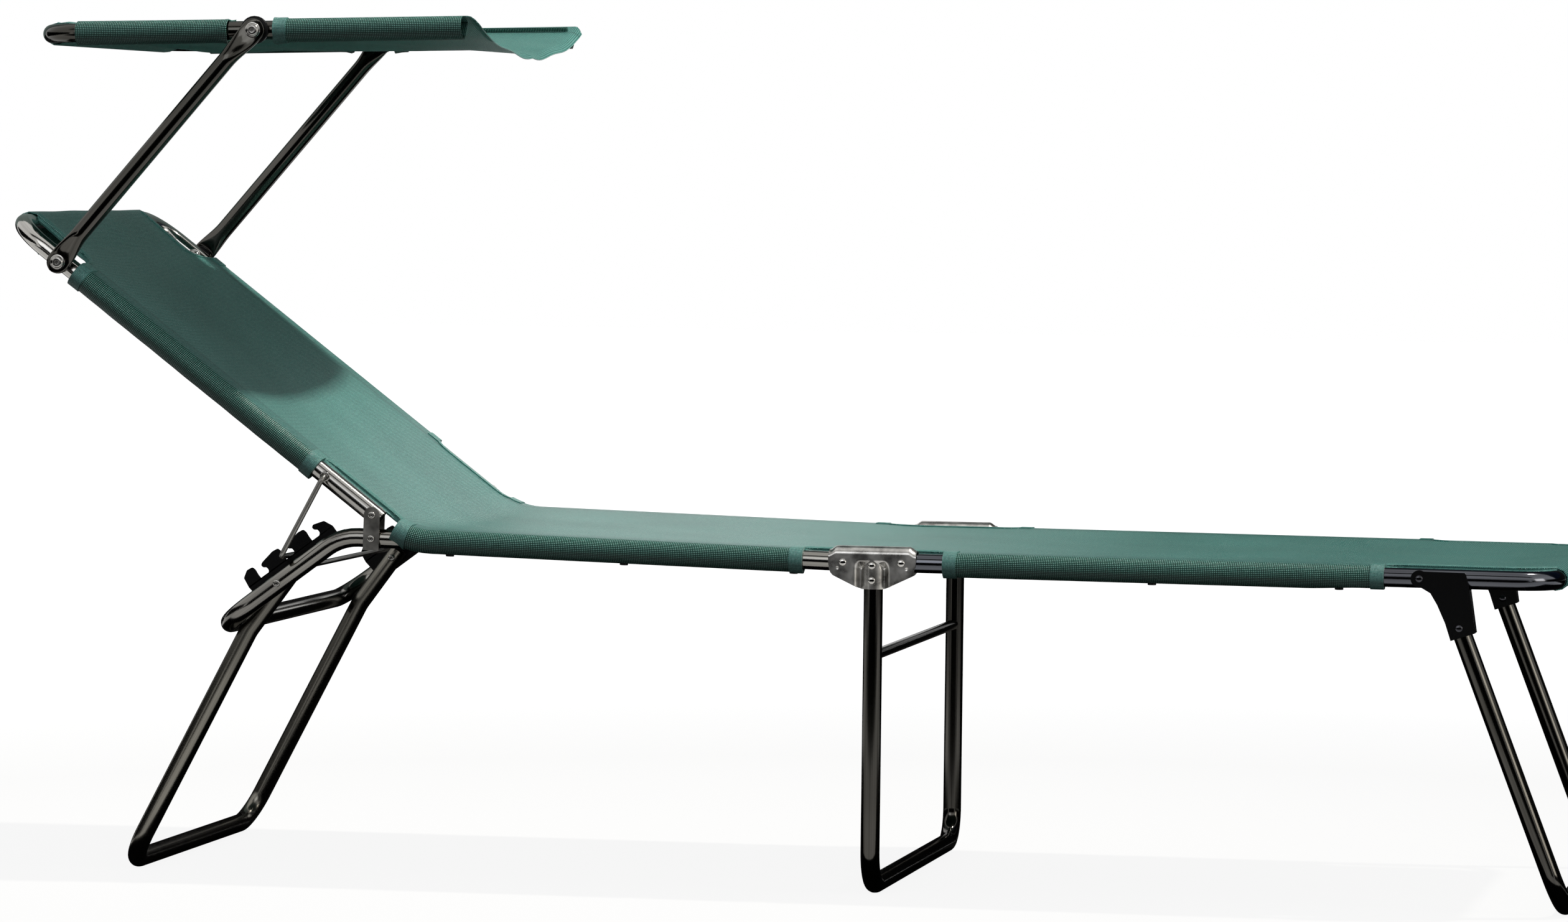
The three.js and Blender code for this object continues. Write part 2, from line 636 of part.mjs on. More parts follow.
const channel_outer = radius + fit + channel_sheet;
const channel_right = foot_leg_axis_along + channel_past_leg;
const channel_low = foot_leg_axis_below + channel_below_leg;
const leaf_edge_shares = [[0.574, 1.156], [0.472, 0.827], [0.327, 0.487], [0.203, 0.267]];
const channelShape = () => {
  const shape = new THREE.Shape();
  const web = [
    [channel_length, channel_top],
    [channel_length + channel_sheet, channel_top - channel_sheet],
    [channel_bulge, -radius],
    [channel_right, -channel_low],
  ];
  const leaf = leaf_edge_shares.map(([along, down]) => [along * channel_right, -down * channel_low]);
  shape.absarc(0, 0, channel_round, rad(-80), rad(60), true);
  [...web, ...leaf].forEach(([x, z]) => shape.lineTo(x, z));
  return shape;
};
for (const [side, sign] of near_and_far) {
  const y = sign * half_width;
  const web_top = -radius - fit;
  const above = new THREE.BoxGeometry(4 * channel_length, 2 * (radius + fit), channel_low);
  above.translate(0, y, web_top + channel_low / 2);
  const behind = flat(outline([
    [-4 * channel_round, channel_top],
    [channel_bulge - channel_sheet, channel_top],
    [channel_bulge - channel_sheet, -radius],
    [channel_right - channel_sheet, -channel_low],
    [channel_right - channel_sheet, -channel_low - 2 * radius],
    [-4 * channel_round, -channel_low - 2 * radius],
  ]), 2 * (radius + fit), y);
  place(foot_leg, `foot_bracket_${side}`, cut(
    flat(channelShape(), 2 * channel_outer, y),
    above,
    behind,
    bar(0, y, 0, rivet_hole, through),
    bar(foot_leg_axis_along, y, -foot_leg_axis_below, rivet_hole, through),
  ), black_coat);
  place(foot_half, `foot_leg_pivot_${side}`,
    rivet(foot_leg_pivot_along, y, 0, 2 * channel_outer), bright_steel);
  place(foot_leg, `foot_leg_rivet_${side}`,
    rivet(foot_leg_axis_along, y, -foot_leg_axis_below, 2 * channel_outer), bright_steel);
}

// Backrest frame: one bent tube, drilled for its pivots, the strut and the canopy arms
const backrest = frameAt(head_half, -hinge_along_rail, hinge_above_rail, backrest_angle);
place(backrest, 'backrest_frame', cut(
  hollow(bent([
    vec(backrest_end_overhang, -half_width, 0),
    vec(-backrest_length, -half_width, 0),
    vec(-backrest_length, half_width, 0),
    vec(backrest_end_overhang, half_width, 0),
  ], [corner_radius, corner_radius])),
  bar(0, 0, 0, rivet_hole, through),
  bar(-strut_pivot_along, 0, 0, rod_radius + fit, through),
  bar(-arm_pivot_along, 0, 0, bolt_shank_radius + fit, through),
), dark_chrome);

// Strut: a bail of bent rod from the backrest to the middle notches
const toBackrest = (p) => {
  const angle = rad(backrest_angle);
  const dx = p.x + hinge_along_rail;
  const dz = p.z - hinge_above_rail;
  return { x: dx * Math.cos(angle) - dz * Math.sin(angle), z: dx * Math.sin(angle) + dz * Math.cos(angle) };
};
const seat_back = rod_radius + fit;
const notch = toBackrest(alongDip(middle_notch_along_dip - seat_back - fit, notch_above_tube + seat_back));
const strut = frameAt(backrest, -strut_pivot_along, 0, 0);
const strut_x = notch.x + strut_pivot_along;
const strut_z = notch.z;
const strut_length = Math.hypot(strut_x, strut_z);
const grip_share = 1 + strut_drop / strut_length;
const strut_outer = half_width + radius * corner_radius_share + fit + strut_bend_radius;
const strut_stub = half_width - radius - strut_stub_inset;
const grip_half = half_width - strut_joggle_inset;
const strutSide = (sign) => [
  vec(0, sign * strut_stub, 0),
  vec(0, sign * strut_outer, 0),
  vec(strut_x, sign * strut_outer, strut_z),
  vec(strut_x, sign * grip_half, strut_z),
  vec(strut_x * grip_share, sign * grip_half, strut_z * grip_share),
];
const strut_corners = [...strutSide(-1), ...strutSide(1).reverse()];
const strut_bends = Array(strut_corners.length - 2).fill(strut_bend_radius);
place(strut, 'backrest_strut', rod(bent(strut_corners, strut_bends, rad(30)), rod_radius), grey_steel);

// Canopy arms: tube with both ends pressed flat, flush with its inner side
const arms = frameAt(backrest, -arm_pivot_along, 0, -arm_angle);
const arm_radius = arm_diameter / 2;
const arm_inner = half_width + radius + disc_thickness + 2 * fit;
const tip_shares = [-0.97, -0.8, -0.5, 0];
const flare_shares = [0.25, 0.5, 0.75, 1];
const pressed_power_share = 0.5;      // squares off the round section where it is pressed flat
const arm_sides = 16;
const armRing = (along, sign) => {
  const from_end = Math.min(along, arm_length - along);
  const flare = THREE.MathUtils.smoothstep(from_end, arm_flare * flare_shares[0], arm_flare);
  const tip = from_end < 0 ? Math.sqrt(arm_end_radius ** 2 - from_end ** 2) : arm_end_radius;
  const wide = THREE.MathUtils.lerp(tip, arm_radius, flare);
  const thick = THREE.MathUtils.lerp(arm_end_thickness / 2, arm_radius, flare);
  const power = THREE.MathUtils.lerp(pressed_power_share, 1, flare);
  const rounded = (part) => Math.sign(part) * Math.abs(part) ** power;
  const ring = [];
  for (let i = 0; i < arm_sides; i += 1) {
    const angle = (2 * Math.PI * i) / arm_sides;
    const y = sign * (arm_inner + thick) + thick * rounded(Math.cos(angle));
    ring.push(vec(along, y, wide * rounded(Math.sin(angle))));
  }
  return ring;
};
const armShape = (sign) => {
  const stations = [
    ...tip_shares.map((share) => share * arm_end_radius),
    ...flare_shares.map((share) => share * arm_flare),
  ];
  const mirrored = stations.map((along) => arm_length - along).reverse();
  return loft([...stations, ...mirrored].map((along) => armRing(along, sign)));
};
const disc_sides = 24;
const arm_middle = arm_inner + arm_end_thickness / 2;
const bolt_stack = arm_end_thickness + disc_thickness + 2 * fit + tube_diameter;
const boltShape = () => rivetShape(bolt_stack, bolt_head_radius, bolt_head_height, bolt_shank_radius,
  bolt_nut_radius);
for (const [side, sign] of near_and_far) {
  place(arms, `canopy_arm_${side}`, cut(
    armShape(sign),
    bar(0, sign * arm_middle, 0, bolt_shank_radius + fit, 4 * arm_end_thickness),
    bar(arm_length, sign * arm_middle, 0, bolt_shank_radius + fit, 4 * arm_end_thickness),
  ), dark_chrome);
  const disc_y = sign * (half_width + radius + fit + disc_thickness / 2);
  const bolt_y = sign * (half_width - radius + bolt_stack / 2);
  const turned = sign < 0 ? 0 : Math.PI;
  [['lower', 0, lower_disc_radius], ['upper', arm_length, upper_disc_radius]].forEach(([level, x, round]) => {
    place(arms, `friction_disc_${level}_${side}`, cut(
      bar(x, disc_y, 0, round, disc_thickness, disc_sides),
      bar(x, disc_y, 0, bolt_shank_radius + fit, 2 * disc_thickness),
    ), black_coat);
    place(arms, `canopy_bolt_${level}_${side}`,
      boltShape().rotateX(turned).translate(x, bolt_y, 0), bright_steel);
  });
}

// Canopy frame: one bent tube, open to the front
const canopy = frameAt(arms, arm_length, 0, canopy_tilt);
place(canopy, 'canopy_frame', cut(
  hollow(bent([
    vec(canopy_front, -half_width, 0),
    vec(-canopy_rear, -half_width, 0),
    vec(-canopy_rear, half_width, 0),
    vec(canopy_front, half_width, 0),
  ], [corner_radius, corner_radius])),
  bar(0, 0, 0, bolt_shank_radius + fit, through),
), dark_chrome);

// Fabric pieces: a sheet with a sleeve on each tube it hangs on, open where the frame is bare
const sleeve_inner = (radius + sleeve_gap) * corner_radius_share;
const sleeve_outer = sleeve_inner + fabric_thickness;
const sleeve_flat = sleeve_outer * Math.cos(tube_turn);
const sheet_top = sleeve_flat - sheet_step;
const sheet_thickness = fabric_thickness * Math.cos(tube_turn) - 2 * sheet_step;
const sleeve = (from, to) => {
  const shape = new THREE.Shape(polygon(sleeve_outer, tube_sides));
  shape.holes.push(new THREE.Path(polygon(sleeve_inner, tube_sides).reverse()));
  return sweep(shape, bent([from, to], []));
};

// A sheet from rows of [x, half width, sag]: flat where it joins the sleeves, sagging between
const sheet_lanes = 8;
const sheet = (rows) => loft(rows.map(([x, half, sag]) => {
  const inside = half - sheet_edge;
  const upper = [vec(x, -half, sheet_top)];
  for (let i = 0; i <= sheet_lanes; i += 1) {
    const share = (2 * i) / sheet_lanes - 1;
    upper.push(vec(x, inside * share, sheet_top - sag * (1 - share ** 2)));
  }
  upper.push(vec(x, half, sheet_top));
  const lower = upper.map((p) => vec(p.x, p.y, p.z - sheet_thickness));
  return [...upper, ...lower.reverse()];
}));

const narrow = half_width - cutout_inset;
const fabric = (parent, name, rows, sleeves, bars = []) => {
  const strips = sleeves.flatMap(([from, to]) => near_and_far.map(([, sign]) => [
    vec(from, sign * half_width, 0), vec(to, sign * half_width, 0)]));
  const cross = bars.map(([x, half]) => [vec(x, -half, 0), vec(x, half, 0)]);
  const rings = [...strips, ...cross].map(([from, to]) => sleeve(from, to));
  place(parent, name, join(sheet(rows), ...rings), green_mesh);
};

// Sleeves, each from its lower to its higher place along its rail
const head_sleeve = [-hinge_along_rail + bare_at_hinge, -bare_at_seat_pivot];
const foot_sleeve = [bare_at_seat_pivot, foot_leg_pivot_along - bare_at_foot_leg];
const backrest_sleeve = [-arm_pivot_along + bare_at_arm, -strut_pivot_along - bare_at_strut];
const canopy_back = [-canopy_rear + bare_canopy_corner, -bare_behind_canopy_bolt];
const canopy_fore = [bare_before_canopy_bolt, canopy_front + canopy_sleeve_overhang];

// Sheet rows for a sleeved stretch, narrowing to the cut-outs at both its ends
const stretch = (from, to, sag) => [
  [from - sleeve_end, narrow, sag],
  [from + sleeve_start, half_width, sag],
  [to - sleeve_start, half_width, sag],
  [to + sleeve_end, narrow, sag],
];

const bar_hem_half = half_width - corner_radius - sleeve_start;
const bar_sheet_half = bar_hem_half - sleeve_start;
fabric(backrest, 'backrest_fabric', [
  [-backrest_length, bar_sheet_half, 0],
  [-backrest_length + hem_flat, bar_sheet_half, 0],
  [-backrest_length + hem_length, bar_sheet_half, backrest_sag],
  ...stretch(...backrest_sleeve, backrest_sag),
  [backrest_tail, narrow, backrest_sag],
], [backrest_sleeve], [[-backrest_length, bar_hem_half]]);

const head_start = -hinge_along_rail + seat_start;
fabric(head_half, 'seat_head_fabric', [
  [head_start, narrow, seat_sag],
  [head_start + sleeve_end, half_width, seat_sag],
  ...stretch(...head_sleeve, seat_sag).slice(2),
  [half_pivots - seat_gap, narrow, seat_sag],
], [head_sleeve]);

fabric(foot_half, 'seat_foot_fabric', [
  [-half_pivots + seat_gap, narrow, seat_sag],
  ...stretch(...foot_sleeve, seat_sag),
  [foot_rail_length - hem_length, bar_sheet_half, seat_sag],
  [foot_rail_length - hem_flat, bar_sheet_half, 0],
  [foot_rail_length, bar_sheet_half, 0],
], [foot_sleeve], [[foot_rail_length, bar_hem_half]]);

// The canopy's sheet is taut at the rear bar and hangs lower towards its free front edge
const canopy_cloth_front = canopy_front + canopy_flap;
const canopy_middle = (canopy_fore[0] + canopy_fore[1]) / 2;
const canopySag = (x) => {
  const taut = -canopy_rear + hem_flat;
  const share = Math.max(0, x - taut) / (canopy_cloth_front - taut);
  return canopy_sag * share ** 1.5;
};
const [fore_cut, fore_start, fore_stop] = stretch(...canopy_fore);
fabric(canopy, 'canopy_fabric', [
  [-canopy_rear, bar_sheet_half],
  [-canopy_rear + hem_flat, bar_sheet_half],
  ...stretch(...canopy_back),
  fore_cut,
  fore_start,
  [canopy_middle, half_width],
  fore_stop,
  [canopy_cloth_front, half_width - sleeve_end],
].map(([x, half]) => [x, half, canopySag(x)]), [canopy_back, canopy_fore], [[-canopy_rear, bar_hem_half]]);

// Studs: black clips under the sleeves, at shares of each sleeve's length
const head_stud_shares = [0.128, 0.56, 0.978];
const foot_stud_shares = [0.473, 0.895];
const stud_sides = 12;
const studs = (parent, name, [from, to], shares) => near_and_far.forEach(([side, sign]) => {
  shares.forEach((share, i) => {
    const geometry = new THREE.CylinderGeometry(stud_radius, stud_radius, stud_height, stud_sides);
    geometry.rotateX(Math.PI / 2);
    const x = THREE.MathUtils.lerp(from, to, share);
    const z = -sleeve_flat - fit - stud_height / 2;
    place(parent, `${name}_${i + 1}_${side}`, geometry.translate(x, sign * half_width, z), black_coat);
  });
});
studs(head_half, 'head_sleeve_stud', head_sleeve, head_stud_shares);
studs(foot_half, 'foot_sleeve_stud', foot_sleeve, foot_stud_shares);

export default model;
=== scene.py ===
"""A folding sun lounger: chromed tube frames, a woven sling, and a sun canopy on two pivoting arms."""

import math

import bmesh
import bpy
from mathutils import Matrix, Vector


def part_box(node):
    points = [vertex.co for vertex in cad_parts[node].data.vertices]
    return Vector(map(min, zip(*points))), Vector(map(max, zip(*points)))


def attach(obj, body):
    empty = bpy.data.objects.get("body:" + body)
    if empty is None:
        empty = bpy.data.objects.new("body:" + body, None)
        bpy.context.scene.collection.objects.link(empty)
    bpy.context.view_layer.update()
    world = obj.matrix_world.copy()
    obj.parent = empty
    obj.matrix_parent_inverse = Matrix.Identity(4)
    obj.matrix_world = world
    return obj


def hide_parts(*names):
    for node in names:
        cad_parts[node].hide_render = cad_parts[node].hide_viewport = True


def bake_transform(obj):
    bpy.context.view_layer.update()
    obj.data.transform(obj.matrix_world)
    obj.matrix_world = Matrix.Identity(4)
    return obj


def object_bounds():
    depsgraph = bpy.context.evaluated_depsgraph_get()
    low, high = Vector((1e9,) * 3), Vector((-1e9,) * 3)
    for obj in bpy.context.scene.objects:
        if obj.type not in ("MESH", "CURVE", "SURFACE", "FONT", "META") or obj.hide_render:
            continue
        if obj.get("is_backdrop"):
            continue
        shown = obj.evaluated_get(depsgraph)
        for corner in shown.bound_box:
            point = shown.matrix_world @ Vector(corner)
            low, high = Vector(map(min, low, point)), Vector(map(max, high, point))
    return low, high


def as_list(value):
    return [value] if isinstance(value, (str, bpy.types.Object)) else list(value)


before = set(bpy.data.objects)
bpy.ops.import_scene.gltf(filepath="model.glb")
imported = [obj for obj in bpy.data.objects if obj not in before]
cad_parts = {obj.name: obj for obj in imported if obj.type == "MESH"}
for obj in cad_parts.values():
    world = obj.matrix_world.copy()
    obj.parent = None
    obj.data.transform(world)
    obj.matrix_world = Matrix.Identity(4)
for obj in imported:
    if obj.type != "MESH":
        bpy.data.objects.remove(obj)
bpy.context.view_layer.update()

# Head seat frame: one steel tube, bent into two rails that dip behind the hinge and meet in the
# head bar. It is chromed after bending, so the finish runs unbroken through the bends.
TUBE = 0.011        # radius of every frame tube
HALF = 0.290        # from the lounger's middle to the line of a rail
RAIL_HIGH = 0.385   # height of the rails at the seat joint
SEAT_PIN = 0.034    # from the middle of a seat bracket to the pivot of each seat half
HEAD_LEAN = 1.5     # degrees that the head half leans
PAST_PIN = 0.010    # how far a rail runs on past its pivot
CORNER = 0.046      # bend radius at a frame's corners


def from_hex(code):
    """An sRGB hex colour as a linear colour."""
    parts = [int(code[i : i + 2], 16) / 255 for i in (1, 3, 5)]
    return [p / 12.92 if p <= 0.04045 else ((p + 0.055) / 1.055) ** 2.4 for p in parts] + [1]


def add(tree, kind, sockets=None, **settings):
    """A node with its settings, its values and its links."""
    made = tree.nodes.new(kind)
    for key, value in settings.items():
        setattr(made, key, value)
    for key, value in (sockets or {}).items():
        if isinstance(value, bpy.types.NodeSocket):
            tree.links.new(value, made.inputs[key])
        else:
            made.inputs[key].default_value = value
    return made


def leaning(x, z, degrees):
    """Places a point given in a leaning frame's own lengths, in metres."""
    turn = Matrix.Rotation(math.radians(degrees), 4, "Y")
    return Matrix.Translation((x, 0, z)) @ turn


def bare(name):
    """A material with an empty node tree."""
    made = bpy.data.materials.new(name)
    made.use_nodes = True
    made.node_tree.nodes.clear()
    return made, made.node_tree


def chrome(name, dark, light, roughness):
    """Chrome plate on a drawn tube: mirror smooth, with faint lines that the drawing die left along it.

    One unit of the UV map is the tube's radius, 11 mm on the frame, so the bands are 3 mm wide and the
    fine lines 0.4 mm. The clouds, where the plate is duller, are 200 mm wide."""
    made, tree = bare(name)
    place = add(tree, "ShaderNodeTexCoord")
    lines = add(tree, "ShaderNodeTexNoise", {"Vector": place.outputs["UV"], "Scale": 3.5, "Detail": 4})
    cloud = add(tree, "ShaderNodeTexNoise", {"Vector": place.outputs["Object"], "Scale": 5, "Detail": 2})
    worn = add(tree, "ShaderNodeMath", {0: lines.outputs["Fac"], 1: cloud.outputs["Fac"]}, operation="ADD")
    tone = add(tree, "ShaderNodeMapRange", {"Value": worn.outputs["Value"], "From Min": 0.75,
                                            "From Max": 1.25})
    shade = add(tree, "ShaderNodeValToRGB", {"Fac": tone.outputs["Result"]})
    shade.color_ramp.elements[0].color = from_hex(dark)
    shade.color_ramp.elements[1].color = from_hex(light)
    dull = add(tree, "ShaderNodeMapRange", {"Value": tone.outputs["Result"], "To Min": roughness * 1.3,
                                            "To Max": roughness * 0.8})
    fine = add(tree, "ShaderNodeTexNoise", {"Vector": place.outputs["UV"], "Scale": 26, "Detail": 1})
    bump = add(tree, "ShaderNodeBump", {"Height": fine.outputs["Fac"], "Strength": 0.12,
                                        "Distance": 0.0002})
    skin = add(tree, "ShaderNodeBsdfPrincipled", {
        "Base Color": shade.outputs["Color"], "Metallic": 1, "Roughness": dull.outputs["Result"],
        "Normal": bump.outputs["Normal"]})
    add(tree, "ShaderNodeOutputMaterial", {"Surface": skin.outputs["BSDF"]})
    return made


ROUND = 32       # sides of a tube
BEND_RINGS = 8   # rings for each radian of a bend


def bent_tube(name, points, bends, radius=TUBE, wall=0.0012):
    """A tube that is extruded along its straights and spun round its bends. Its UV map goes round it."""
    bpy.ops.object.select_all(action="DESELECT")
    ahead = (points[1] - points[0]).normalized()
    bpy.ops.mesh.primitive_circle_add(vertices=ROUND, radius=radius, location=points[0],
                                      rotation=ahead.to_track_quat("Z", "Y").to_euler())
    made = bpy.context.object
    made.name = made.data.name = name
    bpy.ops.object.transform_apply(location=True, rotation=True, scale=True)
    bpy.ops.object.mode_set(mode="EDIT")
    bpy.ops.mesh.select_all(action="SELECT")
    here = points[0]
    for corner, after, bend in zip(points[1:], points[2:], bends):
        onward = (after - corner).normalized()
        turn = ahead.angle(onward)
        reach = bend * math.tan(turn / 2)
        stop = corner - ahead * reach
        bpy.ops.mesh.extrude_region_move(TRANSFORM_OT_translate={"value": stop - here})
        axis = ahead.cross(onward).normalized()
        bpy.ops.mesh.spin(steps=max(3, round(turn * BEND_RINGS)), angle=-turn,
                          center=stop + axis.cross(ahead) * bend, axis=axis)
        here = corner + onward * reach
        ahead = onward
    bpy.ops.mesh.extrude_region_move(TRANSFORM_OT_translate={"value": points[-1] - here})
    bpy.ops.mesh.select_all(action="SELECT")
    bpy.ops.mesh.normals_make_consistent(inside=False)
    bpy.ops.object.mode_set(mode="OBJECT")
    for corner in made.data.loops:
        turn = 2 * math.pi * (corner.vertex_index % ROUND) / ROUND
        made.data.uv_layers.active.data[corner.index].uv = (math.cos(turn), math.sin(turn))
    bpy.ops.object.shade_smooth()
    shell = made.modifiers.new("wall", "SOLIDIFY")
    shell.thickness = wall
    shell.offset = -1
    bpy.ops.object.modifier_apply(modifier="wall")
    bpy.ops.object.shade_smooth_by_angle(angle=math.radians(40))
    return made


head_half = leaning(-SEAT_PIN, RAIL_HIGH, HEAD_LEAN)
head_rail = 0.5965
dip_length, dip_bend = 0.179, 0.062
dip = math.radians(38.3)
head_bar_x = -head_rail - dip_length * math.cos(dip)
head_bar_z = -dip_length * math.sin(dip)
head_frame = bent_tube("head_frame_tube", [head_half @ Vector(p) for p in (
    (PAST_PIN, -HALF, 0), (-head_rail, -HALF, 0), (head_bar_x, -HALF, head_bar_z),
    (head_bar_x, HALF, head_bar_z), (-head_rail, HALF, 0), (PAST_PIN, HALF, 0))],
    [dip_bend, CORNER, CORNER, dip_bend])
# chrome plate mirrors the room sharply, and its grey is matched to this tube in the photograph
head_chrome = chrome("chrome_plate", "#64625e", "#8b8983", 0.13)
head_frame.data.materials.append(head_chrome)
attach(head_frame, "seat_head")
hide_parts("seat_head_frame")

# Foot seat frame: one chromed steel tube, bent into two rails and the foot bar.
# Its open ends butt against those of the head frame inside the seat brackets.
# It looks a shade darker than the head frame.
FOOT_LEAN = 0.35
FOOT_RAIL = 0.744   # from the pivot to the middle of the foot bar
# the same plate, matched to this tube: its grey is painted darker and a little blue, a painted reflection
# of the darker things it mirrors
foot_chrome = chrome("chrome_plate_painted_darker", "#414246", "#5d5f64", 0.13)
foot_half = leaning(SEAT_PIN, RAIL_HIGH, FOOT_LEAN)
foot_frame = bent_tube("foot_frame_tube", [foot_half @ Vector(p) for p in (
    (-PAST_PIN, -HALF, 0), (FOOT_RAIL, -HALF, 0), (FOOT_RAIL, HALF, 0), (-PAST_PIN, HALF, 0))],
    [CORNER, CORNER])
foot_frame.data.materials.append(foot_chrome)
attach(foot_frame, "seat_foot")
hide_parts("seat_foot_frame")

# Backrest frame: one chromed steel tube, open at its two ends below the hinge.
# The ends are left bare there, so the dark bore shows.
HINGE_X, HINGE_Z = -0.590789, 0.427089
BACK_LEAN = 37.3
BACK = 0.550        # from the hinge to the middle of the top bar
below_hinge = 0.009
backrest = leaning(HINGE_X, HINGE_Z, BACK_LEAN)
back_frame = bent_tube("backrest_frame_tube", [backrest @ Vector(p) for p in (
    (below_hinge, -HALF, 0), (-BACK, -HALF, 0), (-BACK, HALF, 0), (below_hinge, HALF, 0))],
    [CORNER, CORNER])
# the same plate, matched to this tube, which is the brightest mirror of the frame: its grey is painted
# paler, as a painted reflection
back_chrome = chrome("chrome_plate_painted_bright", "#8a8884", "#b4b2ad", 0.13)
back_frame.data.materials.append(back_chrome)
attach(back_frame, "backrest")
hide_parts("backrest_frame")

# Legs: three bent tubes of chromed steel on pivots or rivets, which look darker than the rails.
# The head leg has a knee, the mid leg stands straight, and the foot leg slants outwards.
LEG_BEND = 0.040
KNEE_BEND = 0.060
INNER = 0.2635      # from the middle to the line of the head leg, which folds between the rails
# the same plate, matched to the legs, which are nearly black with narrow grey streaks: its grey is painted
# dark, as a painted reflection of dark surroundings
leg_chrome = chrome("chrome_plate_painted_dark", "#34332f", "#504e4a", 0.12)
# the same plate, matched to the head leg, whose streaks are wider and softer from its roughness; its grey
# is painted paler than the other legs', as a painted reflection
paler_painted_chrome = chrome("chrome_plate_painted_paler", "#5b5953", "#7a776f", 0.22)


def leg(name, body, node, points, bends, finish=leg_chrome):
    """A leg that rides on its body and stands in for its solid."""
    made = bent_tube(name, [Vector(p) for p in points], bends)
    made.data.materials.append(finish)
    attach(made, body)
    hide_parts(node)


def mirrored(side):
    """The near half of a tube's line and its copy on the far side, from end to end."""
    return [(x, -y, z) for x, y, z in side] + list(side)[::-1]


leg("mid_leg_bent_tube", "mid_leg", "mid_leg_tube", mirrored([(0, HALF, 0.393), (0, HALF, TUBE)]),
    [LEG_BEND, LEG_BEND])
on_head_leg = leaning(-0.704764, 0.344905, 27.2232)
leg("head_leg_bent_tube", "head_leg", "head_leg_tube", [on_head_leg @ Vector(p) for p in mirrored([
    (0.00188, INNER, 0.01185), (-0.01136, INNER, -0.07171), (-0.01136, INNER, -0.38120)])],
    [KNEE_BEND, LEG_BEND, LEG_BEND, KNEE_BEND], paler_painted_chrome)
on_foot_leg = leaning(0.627989, 0.381371, FOOT_LEAN)
leg("foot_leg_bent_tube", "foot_leg", "foot_leg_tube", [on_foot_leg @ Vector(p) for p in mirrored([
    (0.039086, HALF, -0.036485), (0.169739, HALF, -0.369017)])], [LEG_BEND, LEG_BEND])

# Crossbar of the mid leg: a thin straight tube, butted and welded between the two sides.
# It stiffens the leg where it would spread under load.
crossbar_radius = 0.0063
crossbar_end = (0, 0.2787, 0.2775)
crossbar = bent_tube("crossbar_tube", [Vector(p) for p in mirrored([crossbar_end])], [],
                     radius=crossbar_radius, wall=0.001)
crossbar.data.materials.append(leg_chrome)
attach(crossbar, "mid_leg")
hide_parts("mid_leg_crossbar")

# Strut: one bent steel rod, a bail with a low grip bar. Its stubs turn in the backrest tube and
# its joggles drop into the ratchet notches. It is zinc plated and duller than the chrome.
STRUT_X, STRUT_Z = -0.648063, 0.470721
ROD = 0.0031        # radius of the rod
ROD_BEND = 0.007
on_strut = leaning(STRUT_X, STRUT_Z, BACK_LEAN)
strut_side = [(0, 0.277, 0), (0, 0.308688, 0), (0.017572, 0.308688, -0.105415),
              (0.017572, 0.244, -0.105415), (0.021189, 0.244, -0.127116)]
strut = bent_tube("strut_bent_rod", [on_strut @ Vector(p) for p in mirrored(strut_side)], [ROD_BEND] * 8,
                  radius=ROD, wall=0.0028)
# zinc is greyer than chrome and blurs what it mirrors
zinc = chrome("zinc_plated_steel", "#6a6965", "#8f8d88", 0.34)
strut.data.materials.append(zinc)
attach(strut, "strut")
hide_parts("backrest_strut")

# Strut bosses: the wall of the backrest tube is pressed outwards round each hole of the strut,
# into a low ring that steadies the rod's stub.
for side, sign in (("near", -1), ("far", 1)):
    bpy.ops.object.select_all(action="DESELECT")
    bpy.ops.mesh.primitive_torus_add(major_segments=32, minor_segments=10, major_radius=0.0047,
                                     minor_radius=0.0014, rotation=(math.pi / 2, 0, 0),
                                     location=(STRUT_X, sign * (HALF + TUBE - 0.0005), STRUT_Z))
    boss = bpy.context.object
    boss.name = boss.data.name = "strut_boss_" + side
    bpy.ops.object.transform_apply(location=True, rotation=True, scale=True)
    bpy.ops.object.shade_smooth()
    boss.data.materials.append(back_chrome)
    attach(boss, "backrest")

# Pressed and punched fittings: straps, brackets, channels and ratchet plates, cut from sheet.
# Each is a copy of its solid with merged points, softened edges and its own plating or coat.
def pressed(name, dark, light, roughness):
    """Plated sheet or a turned head: bright, and dull in clouds that are 17 mm wide.

    The grain of pressed sheet, typically 0.2 mm, is drawn 1.4 mm wide to show."""
    made, tree = bare(name)
    place = add(tree, "ShaderNodeTexCoord")
    cloud = add(tree, "ShaderNodeTexNoise", {"Vector": place.outputs["Object"], "Scale": 60, "Detail": 3})
    shade = add(tree, "ShaderNodeValToRGB", {"Fac": cloud.outputs["Fac"]})
    shade.color_ramp.elements[0].position = 0.35
    shade.color_ramp.elements[0].color = from_hex(dark)
    shade.color_ramp.elements[1].position = 0.68
    shade.color_ramp.elements[1].color = from_hex(light)
    dull = add(tree, "ShaderNodeMapRange", {"Value": cloud.outputs["Fac"], "To Min": roughness * 0.7,
                                            "To Max": roughness * 1.4})
    grain = add(tree, "ShaderNodeTexNoise", {"Vector": place.outputs["Object"], "Scale": 700, "Detail": 2})
    bump = add(tree, "ShaderNodeBump", {"Height": grain.outputs["Fac"], "Strength": 0.1,
                                        "Distance": 0.0002})
    skin = add(tree, "ShaderNodeBsdfPrincipled", {
        "Base Color": shade.outputs["Color"], "Metallic": 1, "Roughness": dull.outputs["Result"],
        "Normal": bump.outputs["Normal"]})
    add(tree, "ShaderNodeOutputMaterial", {"Surface": skin.outputs["BSDF"]})
    return made


# zinc on folded sheet is a flat grey with a broad sheen
pressed_zinc = pressed("zinc_plated_sheet", "#5f5e5a", "#85837e", 0.36)


